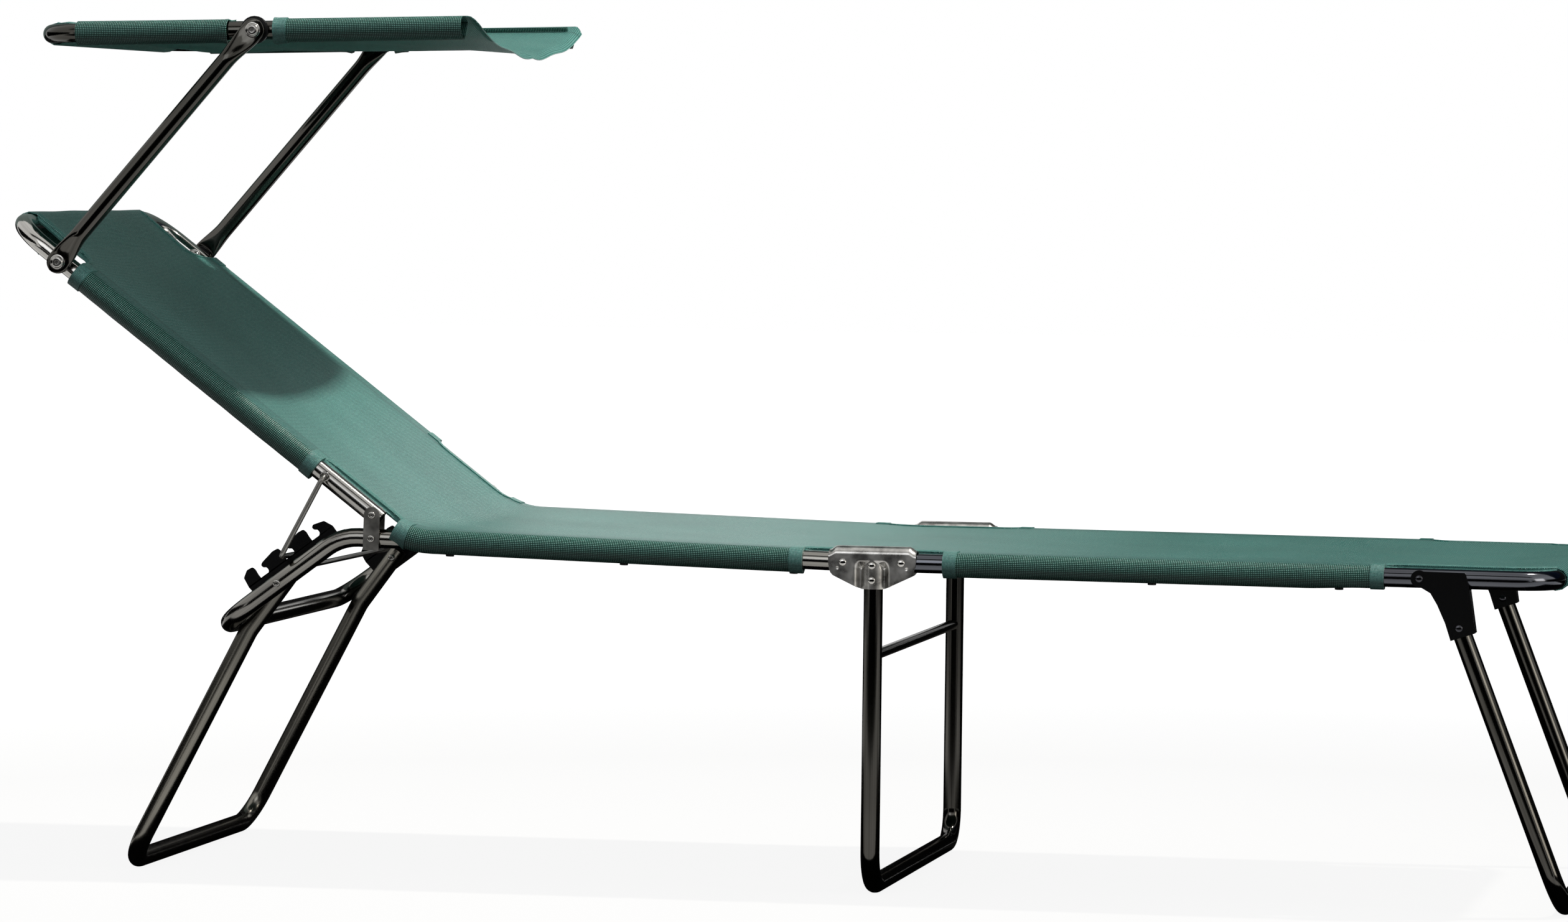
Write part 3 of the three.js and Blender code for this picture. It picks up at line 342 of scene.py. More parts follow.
def coat(name, dark, light):
    """Powder coat: even and faintly pebbled. The pebbles, typically 0.5 mm, are drawn 1.1 mm wide."""
    made, tree = bare(name)
    place = add(tree, "ShaderNodeTexCoord")
    grain = add(tree, "ShaderNodeTexNoise", {"Vector": place.outputs["Object"], "Scale": 900, "Detail": 2})
    tone = add(tree, "ShaderNodeValToRGB", {"Fac": grain.outputs["Fac"]})
    tone.color_ramp.elements[0].color = from_hex(dark)
    tone.color_ramp.elements[1].color = from_hex(light)
    bump = add(tree, "ShaderNodeBump", {"Height": grain.outputs["Fac"], "Strength": 0.2,
                                        "Distance": 0.0003})
    skin = add(tree, "ShaderNodeBsdfPrincipled", {
        "Base Color": tone.outputs["Color"], "Roughness": 0.34, "Specular IOR Level": 0.14,
        "Normal": bump.outputs["Normal"]})
    add(tree, "ShaderNodeOutputMaterial", {"Surface": skin.outputs["BSDF"]})
    return made


# black powder coat hides the edges: only a thin dull highlight shows
powder = coat("black_powder_coat", "#030303", "#080809")


def softened(node, name, body, material, edge=0.0004, corner=0.0):
    """A copy of a solid with merged points and rounded edges, and round corners in its punched outline."""
    bpy.ops.object.select_all(action="DESELECT")
    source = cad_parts[node]
    made = source.copy()
    made.data = source.data.copy()
    made.parent = None
    for key in list(made.keys()):
        del made[key]
    bpy.context.scene.collection.objects.link(made)
    made.name = made.data.name = name
    made.data.materials.clear()
    made.data.materials.append(material)
    bpy.context.view_layer.objects.active = made
    made.select_set(True)
    bpy.ops.object.mode_set(mode="EDIT")
    bpy.ops.mesh.select_all(action="SELECT")
    bpy.ops.mesh.remove_doubles(threshold=0.00001)
    bpy.ops.mesh.dissolve_limited(angle_limit=math.radians(1))
    if corner:
        shape = bmesh.from_edit_mesh(made.data)
        width = {}
        for wall in (f for f in shape.faces if abs(f.normal.y) < 0.01):
            flat = [e.calc_length() for e in wall.edges if abs((e.verts[0].co - e.verts[1].co).y) < 1e-6]
            if flat:
                width[wall] = max(flat)
        for line in shape.edges:
            run = line.verts[0].co - line.verts[1].co
            upright = abs(run.y) > 0.99 * run.length and len(line.link_faces) == 2
            wide = upright and all(width.get(f, 0) > 2.05 * corner for f in line.link_faces)
            line.select_set(bool(wide and line.calc_face_angle() > math.radians(8)))
        bmesh.update_edit_mesh(made.data)
        bpy.ops.mesh.bevel(offset=corner, segments=4, affect="EDGES", clamp_overlap=False)
        bpy.ops.mesh.select_all(action="SELECT")
    bpy.ops.object.mode_set(mode="OBJECT")
    round_off = made.modifiers.new("edges", "BEVEL")
    round_off.width = edge
    round_off.segments = 2
    round_off.angle_limit = math.radians(40)
    bpy.ops.object.modifier_apply(modifier="edges")
    bpy.ops.object.shade_smooth_by_angle(angle=math.radians(35))
    evened = made.modifiers.new("flats", "WEIGHTED_NORMAL")
    evened.keep_sharp = True
    bpy.ops.object.modifier_apply(modifier="flats")
    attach(made, body)
    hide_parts(node)
    return made


for side in ("near", "far"):
    softened("ratchet_plate_" + side, "notched_plate_" + side, "seat_head", powder,
             corner=0.0012)
    softened("hinge_strap_" + side, "folded_strap_" + side, "seat_head", pressed_zinc)
    softened("foot_bracket_" + side, "foot_channel_" + side, "foot_leg", powder)

# Seat brackets: one chromed sheet on each side, folded over the joint of the two halves. Its round
# spine is raised in the middle. Beside the leg both cheeks are pressed inwards, in a funnel that
# runs down into a crease, and each cheek has two small dimples from the press.
SHEET = 0.0016                  # thickness of the sheet
CHEEK = 0.0129 - SHEET / 2      # from the rail's middle to a cheek
SPINE = 0.0187 - SHEET / 2      # height of the raised spine
SPINE_END = 0.0142 - SHEET / 2  # height of the spine at its ends
BRACKET = 0.051                 # half the bracket's length
lower_edge = [(0, -0.0305), (0.0125, -0.0305), (0.0155, -0.0294), (0.0455, -0.0151), (0.0485, -0.0118),
              (0.0502, -0.0060), (BRACKET, 0.0)]


def form(name, rows, columns, spot, closed=False):
    """A grid whose points are laid on a shape, row by row. A closed one joins its two side edges."""
    bpy.ops.object.select_all(action="DESELECT")
    wide, long = len(columns) - 1, len(rows) - 1
    bpy.ops.mesh.primitive_grid_add(x_subdivisions=wide, y_subdivisions=long, size=1)
    made = bpy.context.object
    made.name = made.data.name = name
    mesh = made.data
    cells = [(round((v.co.x + 0.5) * wide), round((v.co.y + 0.5) * long)) for v in mesh.vertices]
    spots = [spot(rows[j], columns[i]) for i, j in cells]
    for vertex, (place, _) in zip(mesh.vertices, spots):
        vertex.co = place
    for corner in mesh.loops:
        mesh.uv_layers.active.data[corner.index].uv = spots[corner.vertex_index][1]
    if closed:
        bpy.ops.object.mode_set(mode="EDIT")
        bpy.ops.mesh.select_all(action="SELECT")
        bpy.ops.mesh.remove_doubles(threshold=0.00001)
        bpy.ops.mesh.normals_make_consistent(inside=False)
        bpy.ops.object.mode_set(mode="OBJECT")
    bpy.ops.object.shade_smooth()
    return made


def thicken(made, thickness):
    """Gives a sheet its thickness on both sides of its points, with crisp edges."""
    shell = made.modifiers.new("sheet", "SOLIDIFY")
    shell.thickness = thickness
    shell.offset = 0
    bpy.ops.object.select_all(action="DESELECT")
    made.select_set(True)
    bpy.context.view_layer.objects.active = made
    bpy.ops.object.modifier_apply(modifier="sheet")
    bpy.ops.object.shade_smooth_by_angle(angle=math.radians(60))


def eased(value, low, high):
    """0 up to low, 1 from high, and smooth between."""
    share = min(1, max(0, (value - low) / (high - low)))
    return share * share * (3 - 2 * share)


def bracket_bottom(x):
    """Height of a cheek's lower edge: level under the leg, then rising to the ends."""
    for (a, low), (b, high) in zip(lower_edge, lower_edge[1:]):
        if abs(x) <= b:
            return low + (high - low) * (abs(x) - a) / (b - a)
    return 0.0


def drawn_in(x, z):
    """How far the cheek is pressed towards the leg: the funnel's back, its outer wall and the socket."""
    off = abs(x)
    crease, rim = 0.0129, 0.0215
    wall = min(1, max(0, (rim - off) / (rim - crease)))
    back = min(1, max(0, (0.0030 - z) / 0.0110))
    socket = min(1, (off / crease) ** 2)
    sink = 0.0066 * min(eased(1 - math.hypot(1 - wall, 1 - back), 0, 0.9), socket)
    pocket = 0.0012 * eased(0.0042 - math.dist((off, z * 0.8), (0.0128, -0.0020)), 0, 0.0012)
    dimple = 0.0006 * eased(0.0021 - math.dist((off, z), (0.0402, -0.0065)), 0, 0.0016)
    return sink + pocket * (z < 0.001) + dimple


def bracket_spot(x, column):
    """A point on the sheet's middle, for a column from -2 at one lower edge to 2 at the other."""
    raised = 1 - eased(abs(x), 0.0415, 0.0505)
    shoulder = 0.0056 + 0.0038 * raised
    top = SPINE_END + (SPINE - SPINE_END) * raised
    face = math.copysign(1, column)
    if abs(column) <= 1:
        turn = column * math.pi / 2
        over = Vector((x, CHEEK * math.sin(turn), shoulder + (top - shoulder) * math.cos(turn)))
        return over, (x, column)
    bottom = bracket_bottom(x)
    z = shoulder + (bottom - shoulder) * (abs(column) - 1)
    return Vector((x, face * (CHEEK - drawn_in(x, z)), z)), (x, column)


# satin chrome has wide highlights from its roughness, and its grey is painted brighter than the tubes'
# mirror, as a painted reflection
bracket_chrome = pressed("satin_chrome_plate", "#83817d", "#cfcdc8", 0.27)
arch = [i / 12 for i in range(-12, 13)]
cheek = [1 + (i + 1) / 44 for i in range(44)]
bracket_rows = [-BRACKET + 2 * BRACKET * i / 136 for i in range(137)]
bracket_columns = [-c for c in reversed(cheek)] + arch + cheek
for side, sign in (("near", -1), ("far", 1)):
    bracket = form("pressed_bracket_" + side, bracket_rows, bracket_columns, bracket_spot)
    thicken(bracket, SHEET)
    bracket.data.transform(Matrix.Translation((0, sign * HALF, RAIL_HIGH)))
    bracket.data.materials.append(bracket_chrome)
    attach(bracket, "mid_leg")
    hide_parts("seat_bracket_" + side)

# Canopy arms: two chromed tubes whose ends are pressed flat, widened and drilled for their bolts.
# The flats lie outside the frame tubes, with a friction disc between.
arms = leaning(-0.969673, 0.715722, -49.5)
ARM = 0.3591            # between the bolts
ARM_INNER = 0.3066      # from the middle to the inner face
ARM_TUBE = 0.01025      # radius of the tube between its flats
FLAT_WIDE, FLAT_THICK = 0.0136, 0.00325     # half sizes of a flat


def arm_spot(sign):
    """Points on one arm, by the length along it and the turn round it."""
    def spot(along, turn):
        end = min(along, ARM - along)
        flare = eased(end, 0.004, 0.046)
        tip = math.sqrt(max(FLAT_WIDE**2 - min(end, 0) ** 2, 0))
        wide = tip + (ARM_TUBE - tip) * flare
        thick = FLAT_THICK + (ARM_TUBE - FLAT_THICK) * flare
        square = 0.45 + 0.55 * flare
        c, s = math.cos(turn), math.sin(turn)
        y = thick * math.copysign(abs(c) ** square, c)
        z = wide * math.copysign(abs(s) ** square, s)
        hollow = 0.0016 * (flare * (1 - flare) * 4) * math.exp(-((z / 0.005) ** 2)) * (c > 0)
        place = Vector((along, sign * (ARM_INNER + thick + y - hollow), z))
        return arms @ place, (math.cos(turn), math.sin(turn))
    return spot


round_end = [-FLAT_WIDE, -0.0133, -0.0125, -0.0112, -0.0094, -0.0070, -0.0040]
half_arm = round_end + [i * 0.004 for i in range(13)]
arm_rows = half_arm + [ARM - m for m in reversed(half_arm)]
arm_turns = [2 * math.pi * i / 40 for i in range(41)]
for side, sign in (("near", -1), ("far", 1)):
    arm = form("pressed_arm_" + side, arm_rows, arm_turns, arm_spot(sign), closed=True)
    arm.data.materials.append(leg_chrome)
    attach(arm, "canopy_arms")
    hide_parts("canopy_arm_" + side)

# Canopy frame: one chromed tube, open to the front, turned on the arms' upper bolts.
# Its two ends are hidden in the cloth's sleeves.
CANOPY_BACK = 0.260     # from the bolts to the middle of the rear bar
CANOPY_FRONT = 0.240    # from the bolts to the open ends
canopy = leaning(-0.736456, 0.988784, -1.3)
canopy_tube = bent_tube("canopy_frame_tube", [canopy @ Vector(p) for p in (
    (CANOPY_FRONT, -HALF, 0), (-CANOPY_BACK, -HALF, 0),
    (-CANOPY_BACK, HALF, 0), (CANOPY_FRONT, HALF, 0))], [CORNER, CORNER])
canopy_tube.data.materials.append(leg_chrome)
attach(canopy_tube, "canopy")
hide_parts("canopy_frame")

# Rivets, bolts and friction discs: steel heads, round or with a sunk centre, and moulded black discs.
# Each spans its whole stack, so both ends show their heads.
RIVET_HEAD, HEAD_TALL, SHANK = 0.0043, 0.002, 0.0029
DISC_HALF, DISC_EDGE = 0.0025, 0.0019       # half thickness of a disc, and of its edge
DISC_BORE = 0.0038
LOWER_DISC, UPPER_DISC = 0.013, 0.0164      # radii
# chrome on a turned head is pale, with a soft highlight
pressed_chrome = pressed("pressed_chrome_plate", "#8f8d89", "#b3b1ac", 0.2)
# plated steel, matched to the heads on the seat bracket, the brightest spots of the frame: its pale grey is
# a painted reflection
rivet_chrome = pressed("plated_rivet_steel", "#a5a39e", "#c4c2bd", 0.1)
# plated steel, matched to the foot leg's heads, which are dark dots with a small highlight: its dark grey
# is painted shade, a painted reflection of dark surroundings
rivet_steel = pressed("rivet_steel_painted_dark", "#333336", "#4a4a4e", 0.14)


def turned(name, node, profile, body, material):
    """A turned piece about the Y axis through the middle of its solid, from (radius, place) pairs."""
    low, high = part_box(node)
    middle = (low + high) / 2
    bpy.ops.object.select_all(action="DESELECT")
    (radius, place), *others = profile
    bpy.ops.mesh.primitive_circle_add(vertices=24, radius=radius, fill_type="NGON",
                                      location=middle + Vector((0, place, 0)), rotation=(math.pi / 2, 0, 0))
    made = bpy.context.object
    made.name = made.data.name = name
    bpy.ops.object.transform_apply(location=True, rotation=True, scale=True)
    bpy.ops.object.mode_set(mode="EDIT")
    bpy.ops.mesh.select_all(action="SELECT")
    for wider, further in others:
        bpy.ops.mesh.extrude_region_move(TRANSFORM_OT_translate={"value": (0, further - place, 0)})
        bpy.ops.transform.resize(value=(wider / radius, 1, wider / radius),
                                 center_override=middle + Vector((0, further, 0)))
        radius, place = wider, further
    bpy.ops.mesh.select_all(action="SELECT")
    bpy.ops.mesh.normals_make_consistent(inside=False)
    bpy.ops.object.mode_set(mode="OBJECT")
    bpy.ops.object.shade_smooth_by_angle(angle=math.radians(50))
    made.data.materials.append(material)
    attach(made, body)
    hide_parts(node)


def two_headed(right):
    """The whole profile of a piece whose left end mirrors its right one."""
    return [(r, -y) for r, y in reversed(right)] + right


def half_length(node):
    """Half of what a solid spans from side to side."""
    low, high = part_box(node)
    return (high.y - low.y) / 2


def rivet_profile(node):
    """Domed heads with a sunk centre at both ends of a shank."""
    head, tall, half = RIVET_HEAD, HEAD_TALL, half_length(node)
    seat = half - tall
    return two_headed([
        (SHANK, seat), (head, seat), (head, seat + tall * 0.35), (head * 0.86, seat + tall * 0.85),
        (head * 0.62, half), (head * 0.42, half - tall * 0.1), (head * 0.34, half - tall * 0.7)])


def dome_profile(node):
    """Plain round heads at both ends of a shank."""
    seat = half_length(node) - HEAD_TALL
    right = [(SHANK, seat), (RIVET_HEAD, seat), (RIVET_HEAD, seat + HEAD_TALL * 0.15)]
    for step in range(1, 8):
        turn = math.radians(step * 12.5)
        right.append((RIVET_HEAD * math.cos(turn), seat + HEAD_TALL * (0.15 + 0.85 * math.sin(turn))))
    return two_headed(right)


def bolt_profile(node):
    """A dome on a wide raised rim, with a sunk centre, at both ends of a shank."""
    half = half_length(node)
    return two_headed([(radius, half - inwards) for radius, inwards in (
        (0.0037, 0.0038), (0.0090, 0.0038), (0.0092, 0.0034), (0.0088, 0.0027), (0.0074, 0.0025),
        (0.0070, 0.0021), (0.0067, 0.0013), (0.0057, 0.0004), (0.0042, 0), (0.0026, 0.0002),
        (0.0020, 0.0014))])


for side in ("near", "far"):
    for node, body in (("strap_rivet_", "seat_head"), ("backrest_pivot_", "seat_head"),
                       ("head_leg_pivot_", "seat_head"), ("foot_leg_pivot_", "seat_foot"),
                       ("foot_leg_rivet_", "foot_leg"), ("seat_pivot_head_", "mid_leg"),
                       ("seat_pivot_foot_", "mid_leg"), ("mid_leg_rivet_upper_", "mid_leg"),
                       ("mid_leg_rivet_lower_", "mid_leg")):
        shape = dome_profile if node.startswith(("seat", "mid", "foot")) else rivet_profile
        # the heads' greys differ by body as painted light: bright on the mid leg, dark on the foot parts
        plating = {"mid_leg": rivet_chrome, "seat_head": pressed_chrome}.get(body, rivet_steel)
        turned(node + "head_" + side, node + side, shape(node + side), body, plating)
    for level, disc in (("lower_", LOWER_DISC), ("upper_", UPPER_DISC)):
        turned("bolt_head_" + level + side, "canopy_bolt_" + level + side,
               bolt_profile("canopy_bolt_" + level + side), "canopy_arms", pressed_chrome)
        turned("moulded_disc_" + level + side, "friction_disc_" + level + side, two_headed(
            [(disc, DISC_EDGE), (disc * 0.96, DISC_HALF), (DISC_BORE, DISC_HALF)]),
            "canopy_arms", powder)

# Studs: black moulded clips that pin the sleeves to the underside of the rails,
# so that the cloth can't turn or slide on its tubes.
STUD_EDGE = 0.0006
STUD_DROP = 0.0010      # where the sleeve is loose, a stud hangs a little lower
for side in ("near", "far"):
    for first, count, body in (
            ("head_sleeve_stud_", 3, "seat_head"), ("foot_sleeve_stud_", 2, "seat_foot")):
        for i in range(count):
            stud = first + str(i + 1) + "_" + side
            clip = softened(stud, "clip_" + stud, body, powder, STUD_EDGE)
            tight_end = first.startswith("foot") and i == 1
            clip.data.transform(Matrix.Translation((0, 0, 0 if tight_end else -STUD_DROP)))

# Sling: one woven mesh cloth from the top bar over the hinge to the foot bar. Its long edges are
# folded round the rails and stitched into sleeves, and cut away where the frame has its joints.
HUG = 0.0127        # from a tube's middle to the cloth round it
DROOP = 0.0146      # how far a sleeve hangs below its tube's middle
SEAM = 0.027        # how far inside its tube's line a sleeve is stitched
CLOTH = 0.0011      # thickness of the mesh
CUT = 0.260         # half width of the canopy in its cut-outs, and of both cloths beside a bar
CUT_ROUND = 0.024   # length of the rounding at a cut-out's ends
BAR_CUT = 0.024     # how much narrower than that a cloth is on the bar
BAR_EASE = 0.04     # length over which it gets narrower
WOUND = math.radians(200)   # how far a hem is wound round its bar
HEM = 0.030         # length of a hem past that


def woven(name, pitch, gap, thread, light, hollow, dim, glint, seams):
    """Vinyl-coated polyester mesh: an open plain weave whose crossings catch the light, as a painted
    highlight.

    The UV map is in metres, from the cloth's middle and along it. Round a tube the gaps show the dark
    chrome behind them, and the sleeves' threads are painted darker as shade, so the sleeves have darker
    colours. The tone varies in patches of 200 mm, as on faded cloth, and over 2.4 mm from thread to thread."""
    made, tree = bare(name)
    flat = add(tree, "ShaderNodeTexCoord")
    turns = add(tree, "ShaderNodeVectorMath", {0: flat.outputs["UV"], 1: (math.pi / pitch,) * 3},
                operation="MULTIPLY")
    waves = add(tree, "ShaderNodeVectorMath", {0: turns.outputs["Vector"]}, operation="SINE")
    threads = add(tree, "ShaderNodeVectorMath", {0: waves.outputs["Vector"]}, operation="ABSOLUTE")
    lifted = add(tree, "ShaderNodeVectorMath", {0: threads.outputs["Vector"], 1: (0.5, 0.5, 0)},
                 operation="DOT_PRODUCT")
    sheet, sleeve = (add(tree, "ShaderNodeValToRGB", {"Fac": lifted.outputs["Value"]}) for _ in range(2))
    # the top mark of each ramp, light on the sheet and glint on the sleeve, is a painted highlight; dim,
    # the sleeve's thread, is painted darker as shade
    for cloth, marks in ((sheet, ((0.14, gap), (0.34, thread), (0.86, thread), (0.97, light))),
                         (sleeve, ((0.42, hollow), (0.6, dim), (0.74, dim), (0.93, glint)))):
        ramp = cloth.color_ramp.elements
        for mark, (at, colour) in zip((ramp[0], ramp[1], ramp.new(0.5), ramp.new(0.6)), marks):
            mark.position, mark.color = at, from_hex(colour)
    line = add(tree, "ShaderNodeSeparateXYZ", {"Vector": flat.outputs["UV"]})
    side = add(tree, "ShaderNodeMath", {0: line.outputs["X"]}, operation="ABSOLUTE")
    on_tube = add(tree, "ShaderNodeMapRange", {"Value": side.outputs["Value"], "From Min": HALF - 0.004,
                                               "From Max": HALF + 0.006})
    tone = add(tree, "ShaderNodeMixRGB", {
        "Fac": on_tube.outputs["Result"], "Color1": sheet.outputs["Color"],
        "Color2": sleeve.outputs["Color"]})
    fade = add(tree, "ShaderNodeTexNoise", {"Vector": flat.outputs["Object"], "Scale": 5, "Detail": 4})
    worn = add(tree, "ShaderNodeMapRange", {"Value": fade.outputs["Fac"], "From Min": 0.3,
                                            "From Max": 0.7, "To Min": 0.88, "To Max": 1.12})
    slub = add(tree, "ShaderNodeTexNoise", {"Vector": flat.outputs["Object"], "Scale": 420, "Detail": 1})
    uneven = add(tree, "ShaderNodeMapRange", {"Value": slub.outputs["Fac"], "From Min": 0.3,
                                              "From Max": 0.7, "To Min": 0.8, "To Max": 1.2})
    # the seam is a dark line 3 mm wide, and the flap beyond it lies double
    off = add(tree, "ShaderNodeMath", {0: side.outputs["Value"], 1: seams}, operation="SUBTRACT")
    far = add(tree, "ShaderNodeMath", {0: off.outputs["Value"]}, operation="ABSOLUTE")
    sewn = add(tree, "ShaderNodeMapRange", {"Value": far.outputs["Value"], "From Min": 0.0005,
                                            "From Max": 0.0018, "To Min": 0.5, "To Max": 1})
    double = add(tree, "ShaderNodeMapRange", {"Value": off.outputs["Value"], "From Min": -0.0095,
                                              "From Max": -0.0085, "To Min": 1, "To Max": 0.87})
    # painted shade: below the tube, 36 mm round the sleeve, the mesh is painted darkest, as the sleeve's
    # own shadow
    down = add(tree, "ShaderNodeMath", {0: side.outputs["Value"], 1: HALF + 0.036}, operation="SUBTRACT")
    round_it = add(tree, "ShaderNodeMath", {0: down.outputs["Value"]}, operation="ABSOLUTE")
    under = add(tree, "ShaderNodeMapRange", {"Value": round_it.outputs["Value"], "From Min": 0.010,
                                             "From Max": 0.018, "To Min": 0.3, "To Max": 1})
    # the cloth's own tones, with its painted shade and painted highlights multiplied in
    dye_and_painted_light = tone.outputs["Color"]
    for factor in (worn, uneven, sewn, double, under):
        scaled = add(tree, "ShaderNodeVectorMath", {0: dye_and_painted_light, "Scale": factor.outputs["Result"]},
                     operation="SCALE")
        dye_and_painted_light = scaled.outputs["Vector"]
    high = add(tree, "ShaderNodeMath", {0: lifted.outputs["Value"], 1: sewn.outputs["Result"]},
               operation="MULTIPLY")
    bump = add(tree, "ShaderNodeBump", {"Height": high.outputs["Value"], "Strength": 0.5,
                                        "Distance": 0.0006})
    skin = add(tree, "ShaderNodeBsdfPrincipled", {
        "Base Color": dye_and_painted_light, "Roughness": 0.4, "Normal": bump.outputs["Normal"],
        "Specular IOR Level": 0.19, "Sheen Weight": 0.06, "Sheen Roughness": 0.5,
        "Sheen Tint": from_hex("#d4e6e4")})
    add(tree, "ShaderNodeOutputMaterial", {"Surface": skin.outputs["BSDF"]})
    return made


def sleeve_line(droop):
    """Outline of a hanging sleeve from the top of its tube, outwards, under it and up to the seam."""
    line = [(0.0, HUG)]
    half_wide = 0.0131
    for step in range(1, 25):
        turn = math.radians(step * 10)
        tall = HUG + (droop - HUG) * (0.5 - 0.5 * math.cos(turn))
        line.append((half_wide * math.sin(turn), tall * math.cos(turn)))
    line.append((-0.0185, 0.002))
    line.append((-SEAM, HUG - 1.25 * CLOTH))
    lengths = [0.0]
    for before, after in zip(line, line[1:]):
        lengths.append(lengths[-1] + math.dist(before, after))
    return line, lengths


sling_outline = sleeve_line(DROOP)
WRAP = sling_outline[1][-1]


def on_sleeve(outline, wrapped):
    """A sleeve outline's point at a length from the top of the tube."""
    line, lengths = outline
    for i, length in enumerate(lengths[1:]):
        if wrapped <= length + 1e-9:
            share = (wrapped - lengths[i]) / (length - lengths[i])
            (a, b), (c, d) = line[i], line[i + 1]
            return a + (c - a) * share, b + (d - b) * share
    return line[-1]


def cloth_grid(name, rows, columns, spot, gone=None):
    """A cloth laid on its shape, with its cut-outs deleted."""
    made = form(name, rows, columns, spot)
    if gone:
        wide, long = len(columns) - 1, len(rows) - 1
        faces = made.data.polygons
        bpy.ops.object.mode_set(mode="EDIT")
        bpy.ops.mesh.select_all(action="DESELECT")
        bpy.ops.mesh.select_mode(type="FACE")
        bpy.ops.object.mode_set(mode="OBJECT")
        for face in faces:
            i, j = face.index % wide, face.index // wide
            face.select = gone((rows[j] + rows[j + 1]) / 2, (columns[i] + columns[i + 1]) / 2)
        bpy.ops.object.mode_set(mode="EDIT")
        bpy.ops.mesh.delete(type="FACE")
        bpy.ops.mesh.select_mode(type="VERT")
        bpy.ops.object.mode_set(mode="OBJECT")
    return made


def steps(marks, spacing):
    """Numbers from the first mark to the last that hold every mark, at most a spacing apart."""
    out = [marks[0]]
    for low, high in zip(marks, marks[1:]):
        count = max(1, math.ceil((high - low) / spacing))
        out += [low + (high - low) * (i + 1) / count for i in range(count)]
    return out


def cut_edge(along, sleeves, bars=(), cut=CUT):
    """Half width of the cloth: full in a sleeve, cut in past its ends, and narrow at a bar."""
    off = min(max(low - along, along - high, 0) for low, high in sleeves)
    half = HALF - (HALF - cut) * math.sqrt(1 - (1 - min(off / CUT_ROUND, 1)) ** 2)
    for bar in bars:
        near = abs(along - bar)
        if near < BAR_EASE:
            half = min(half, CUT - BAR_CUT * (1 - near / BAR_EASE) ** 2)
    return half


def slope(lean):
    """The upward direction of a frame that leans by an angle, and the direction along it."""
    return Vector((math.sin(lean), 0, math.cos(lean))), Vector((math.cos(lean), 0, -math.sin(lean)))


# the sling's line, seen from the side: down the backrest, round a soft bend, and along the seat
back_slope, head_slope, foot_slope = (math.radians(a) for a in (BACK_LEAN, HEAD_LEAN, FOOT_LEAN))
(back_up, back_down), (head_up, head_on), (foot_up, foot_on) = (
    slope(lean) for lean in (back_slope, head_slope, foot_slope))
hinge = Vector((HINGE_X, 0, HINGE_Z))
head_pin = Vector((-SEAT_PIN, 0, RAIL_HIGH))
foot_pin = Vector((SEAT_PIN, 0, RAIL_HIGH))
bend_from = hinge + back_up * HUG
bend_to = head_pin + head_up * HUG
apart = bend_to - bend_from
cross = back_down.x * head_on.z - back_down.z * head_on.x
to_corner = (apart.x * head_on.z - apart.z * head_on.x) / cross
corner = bend_from + back_down * to_corner
corner_along = BACK + to_corner
SOFT = 0.085        # radius of the soft bend
fold = back_slope - head_slope
soft_reach = SOFT * math.tan(fold / 2)
soft_start = corner_along - soft_reach
soft_end = soft_start + SOFT * fold
head_end = soft_end + (head_pin + head_up * HUG - corner).length - soft_reach
middle_end = head_end + 2 * SEAT_PIN
foot_bar = middle_end + FOOT_RAIL


def sling_line(along):
    """The sheet's point and its upward direction at a length from the top bar."""
    if along < 0:
        turn = -along / HUG
        wound = min(turn, WOUND)
        up = back_up * math.cos(wound) - back_down * math.sin(wound)
        spot = hinge - back_down * BACK + up * HUG
        if turn > wound:
            spot = spot + (back_up * math.sin(wound) - back_down * math.cos(wound)) * (turn - wound) * HUG
        return spot, up
    if along < soft_start:
        return bend_from + back_down * (along - BACK), back_up
    if along < soft_end:
        turn = (along - soft_start) / SOFT
        up, _ = slope(back_slope - turn)
        start = bend_from + back_down * (soft_start - BACK)
        return start + (back_up - up) * SOFT, up
    if along < head_end:
        return head_pin + head_up * HUG + head_on * (along - head_end), head_up
    if along < middle_end:
        share = (along - head_end) / (middle_end - head_end)
        up = head_up.lerp(foot_up, share).normalized()
        return (head_pin + head_up * HUG).lerp(foot_pin + foot_up * HUG, share), up
    if along < foot_bar:
        return foot_pin + foot_up * HUG + foot_on * (along - middle_end), foot_up
    turn = (along - foot_bar) / HUG
    wound = min(turn, WOUND)
    up = foot_up * math.cos(wound) + foot_on * math.sin(wound)
    spot = foot_pin + foot_on * FOOT_RAIL + up * HUG
    if turn > wound:
        spot = spot + (foot_on * math.cos(wound) - foot_up * math.sin(wound)) * (turn - wound) * HUG
    return spot, up


# where each pair of sleeves starts and ends along that line
back_sleeve = (BACK - 0.455, BACK - 0.088)
head_sleeve = (head_end - 0.527, head_end - 0.0485)
foot_sleeve = (middle_end + 0.0485, middle_end + 0.5530)
sling_sleeves = (back_sleeve, head_sleeve, foot_sleeve)
bolt_cut, joint_cut, foot_cut = 0.228, 0.2745, 0.266    # half widths of the cut-outs between them
hem_out = HUG * WOUND + HEM
BACK_SAG, SEAT_SAG = 0.0075, 0.006


def sling_sag(along):
    """How far the cloth sinks between the rails: nothing at the bars, and most on the backrest."""
    if along < 0 or along > foot_bar:
        return 0.0
    ends = min(along, foot_bar - along)
    deep = BACK_SAG if along < soft_start else SEAT_SAG
    return deep * min(1, max(0, ends - 0.012) / 0.05)


def sling_edge(along):
    """Half width of the sling: cut deep round the bolts of the arms, and less at the other joints."""
    if not 0 <= along <= foot_bar:
        return CUT - BAR_CUT
    deep = bolt_cut if along < back_sleeve[0] else foot_cut if along > foot_sleeve[1] else joint_cut
    return cut_edge(along, sling_sleeves, (0, foot_bar), deep)


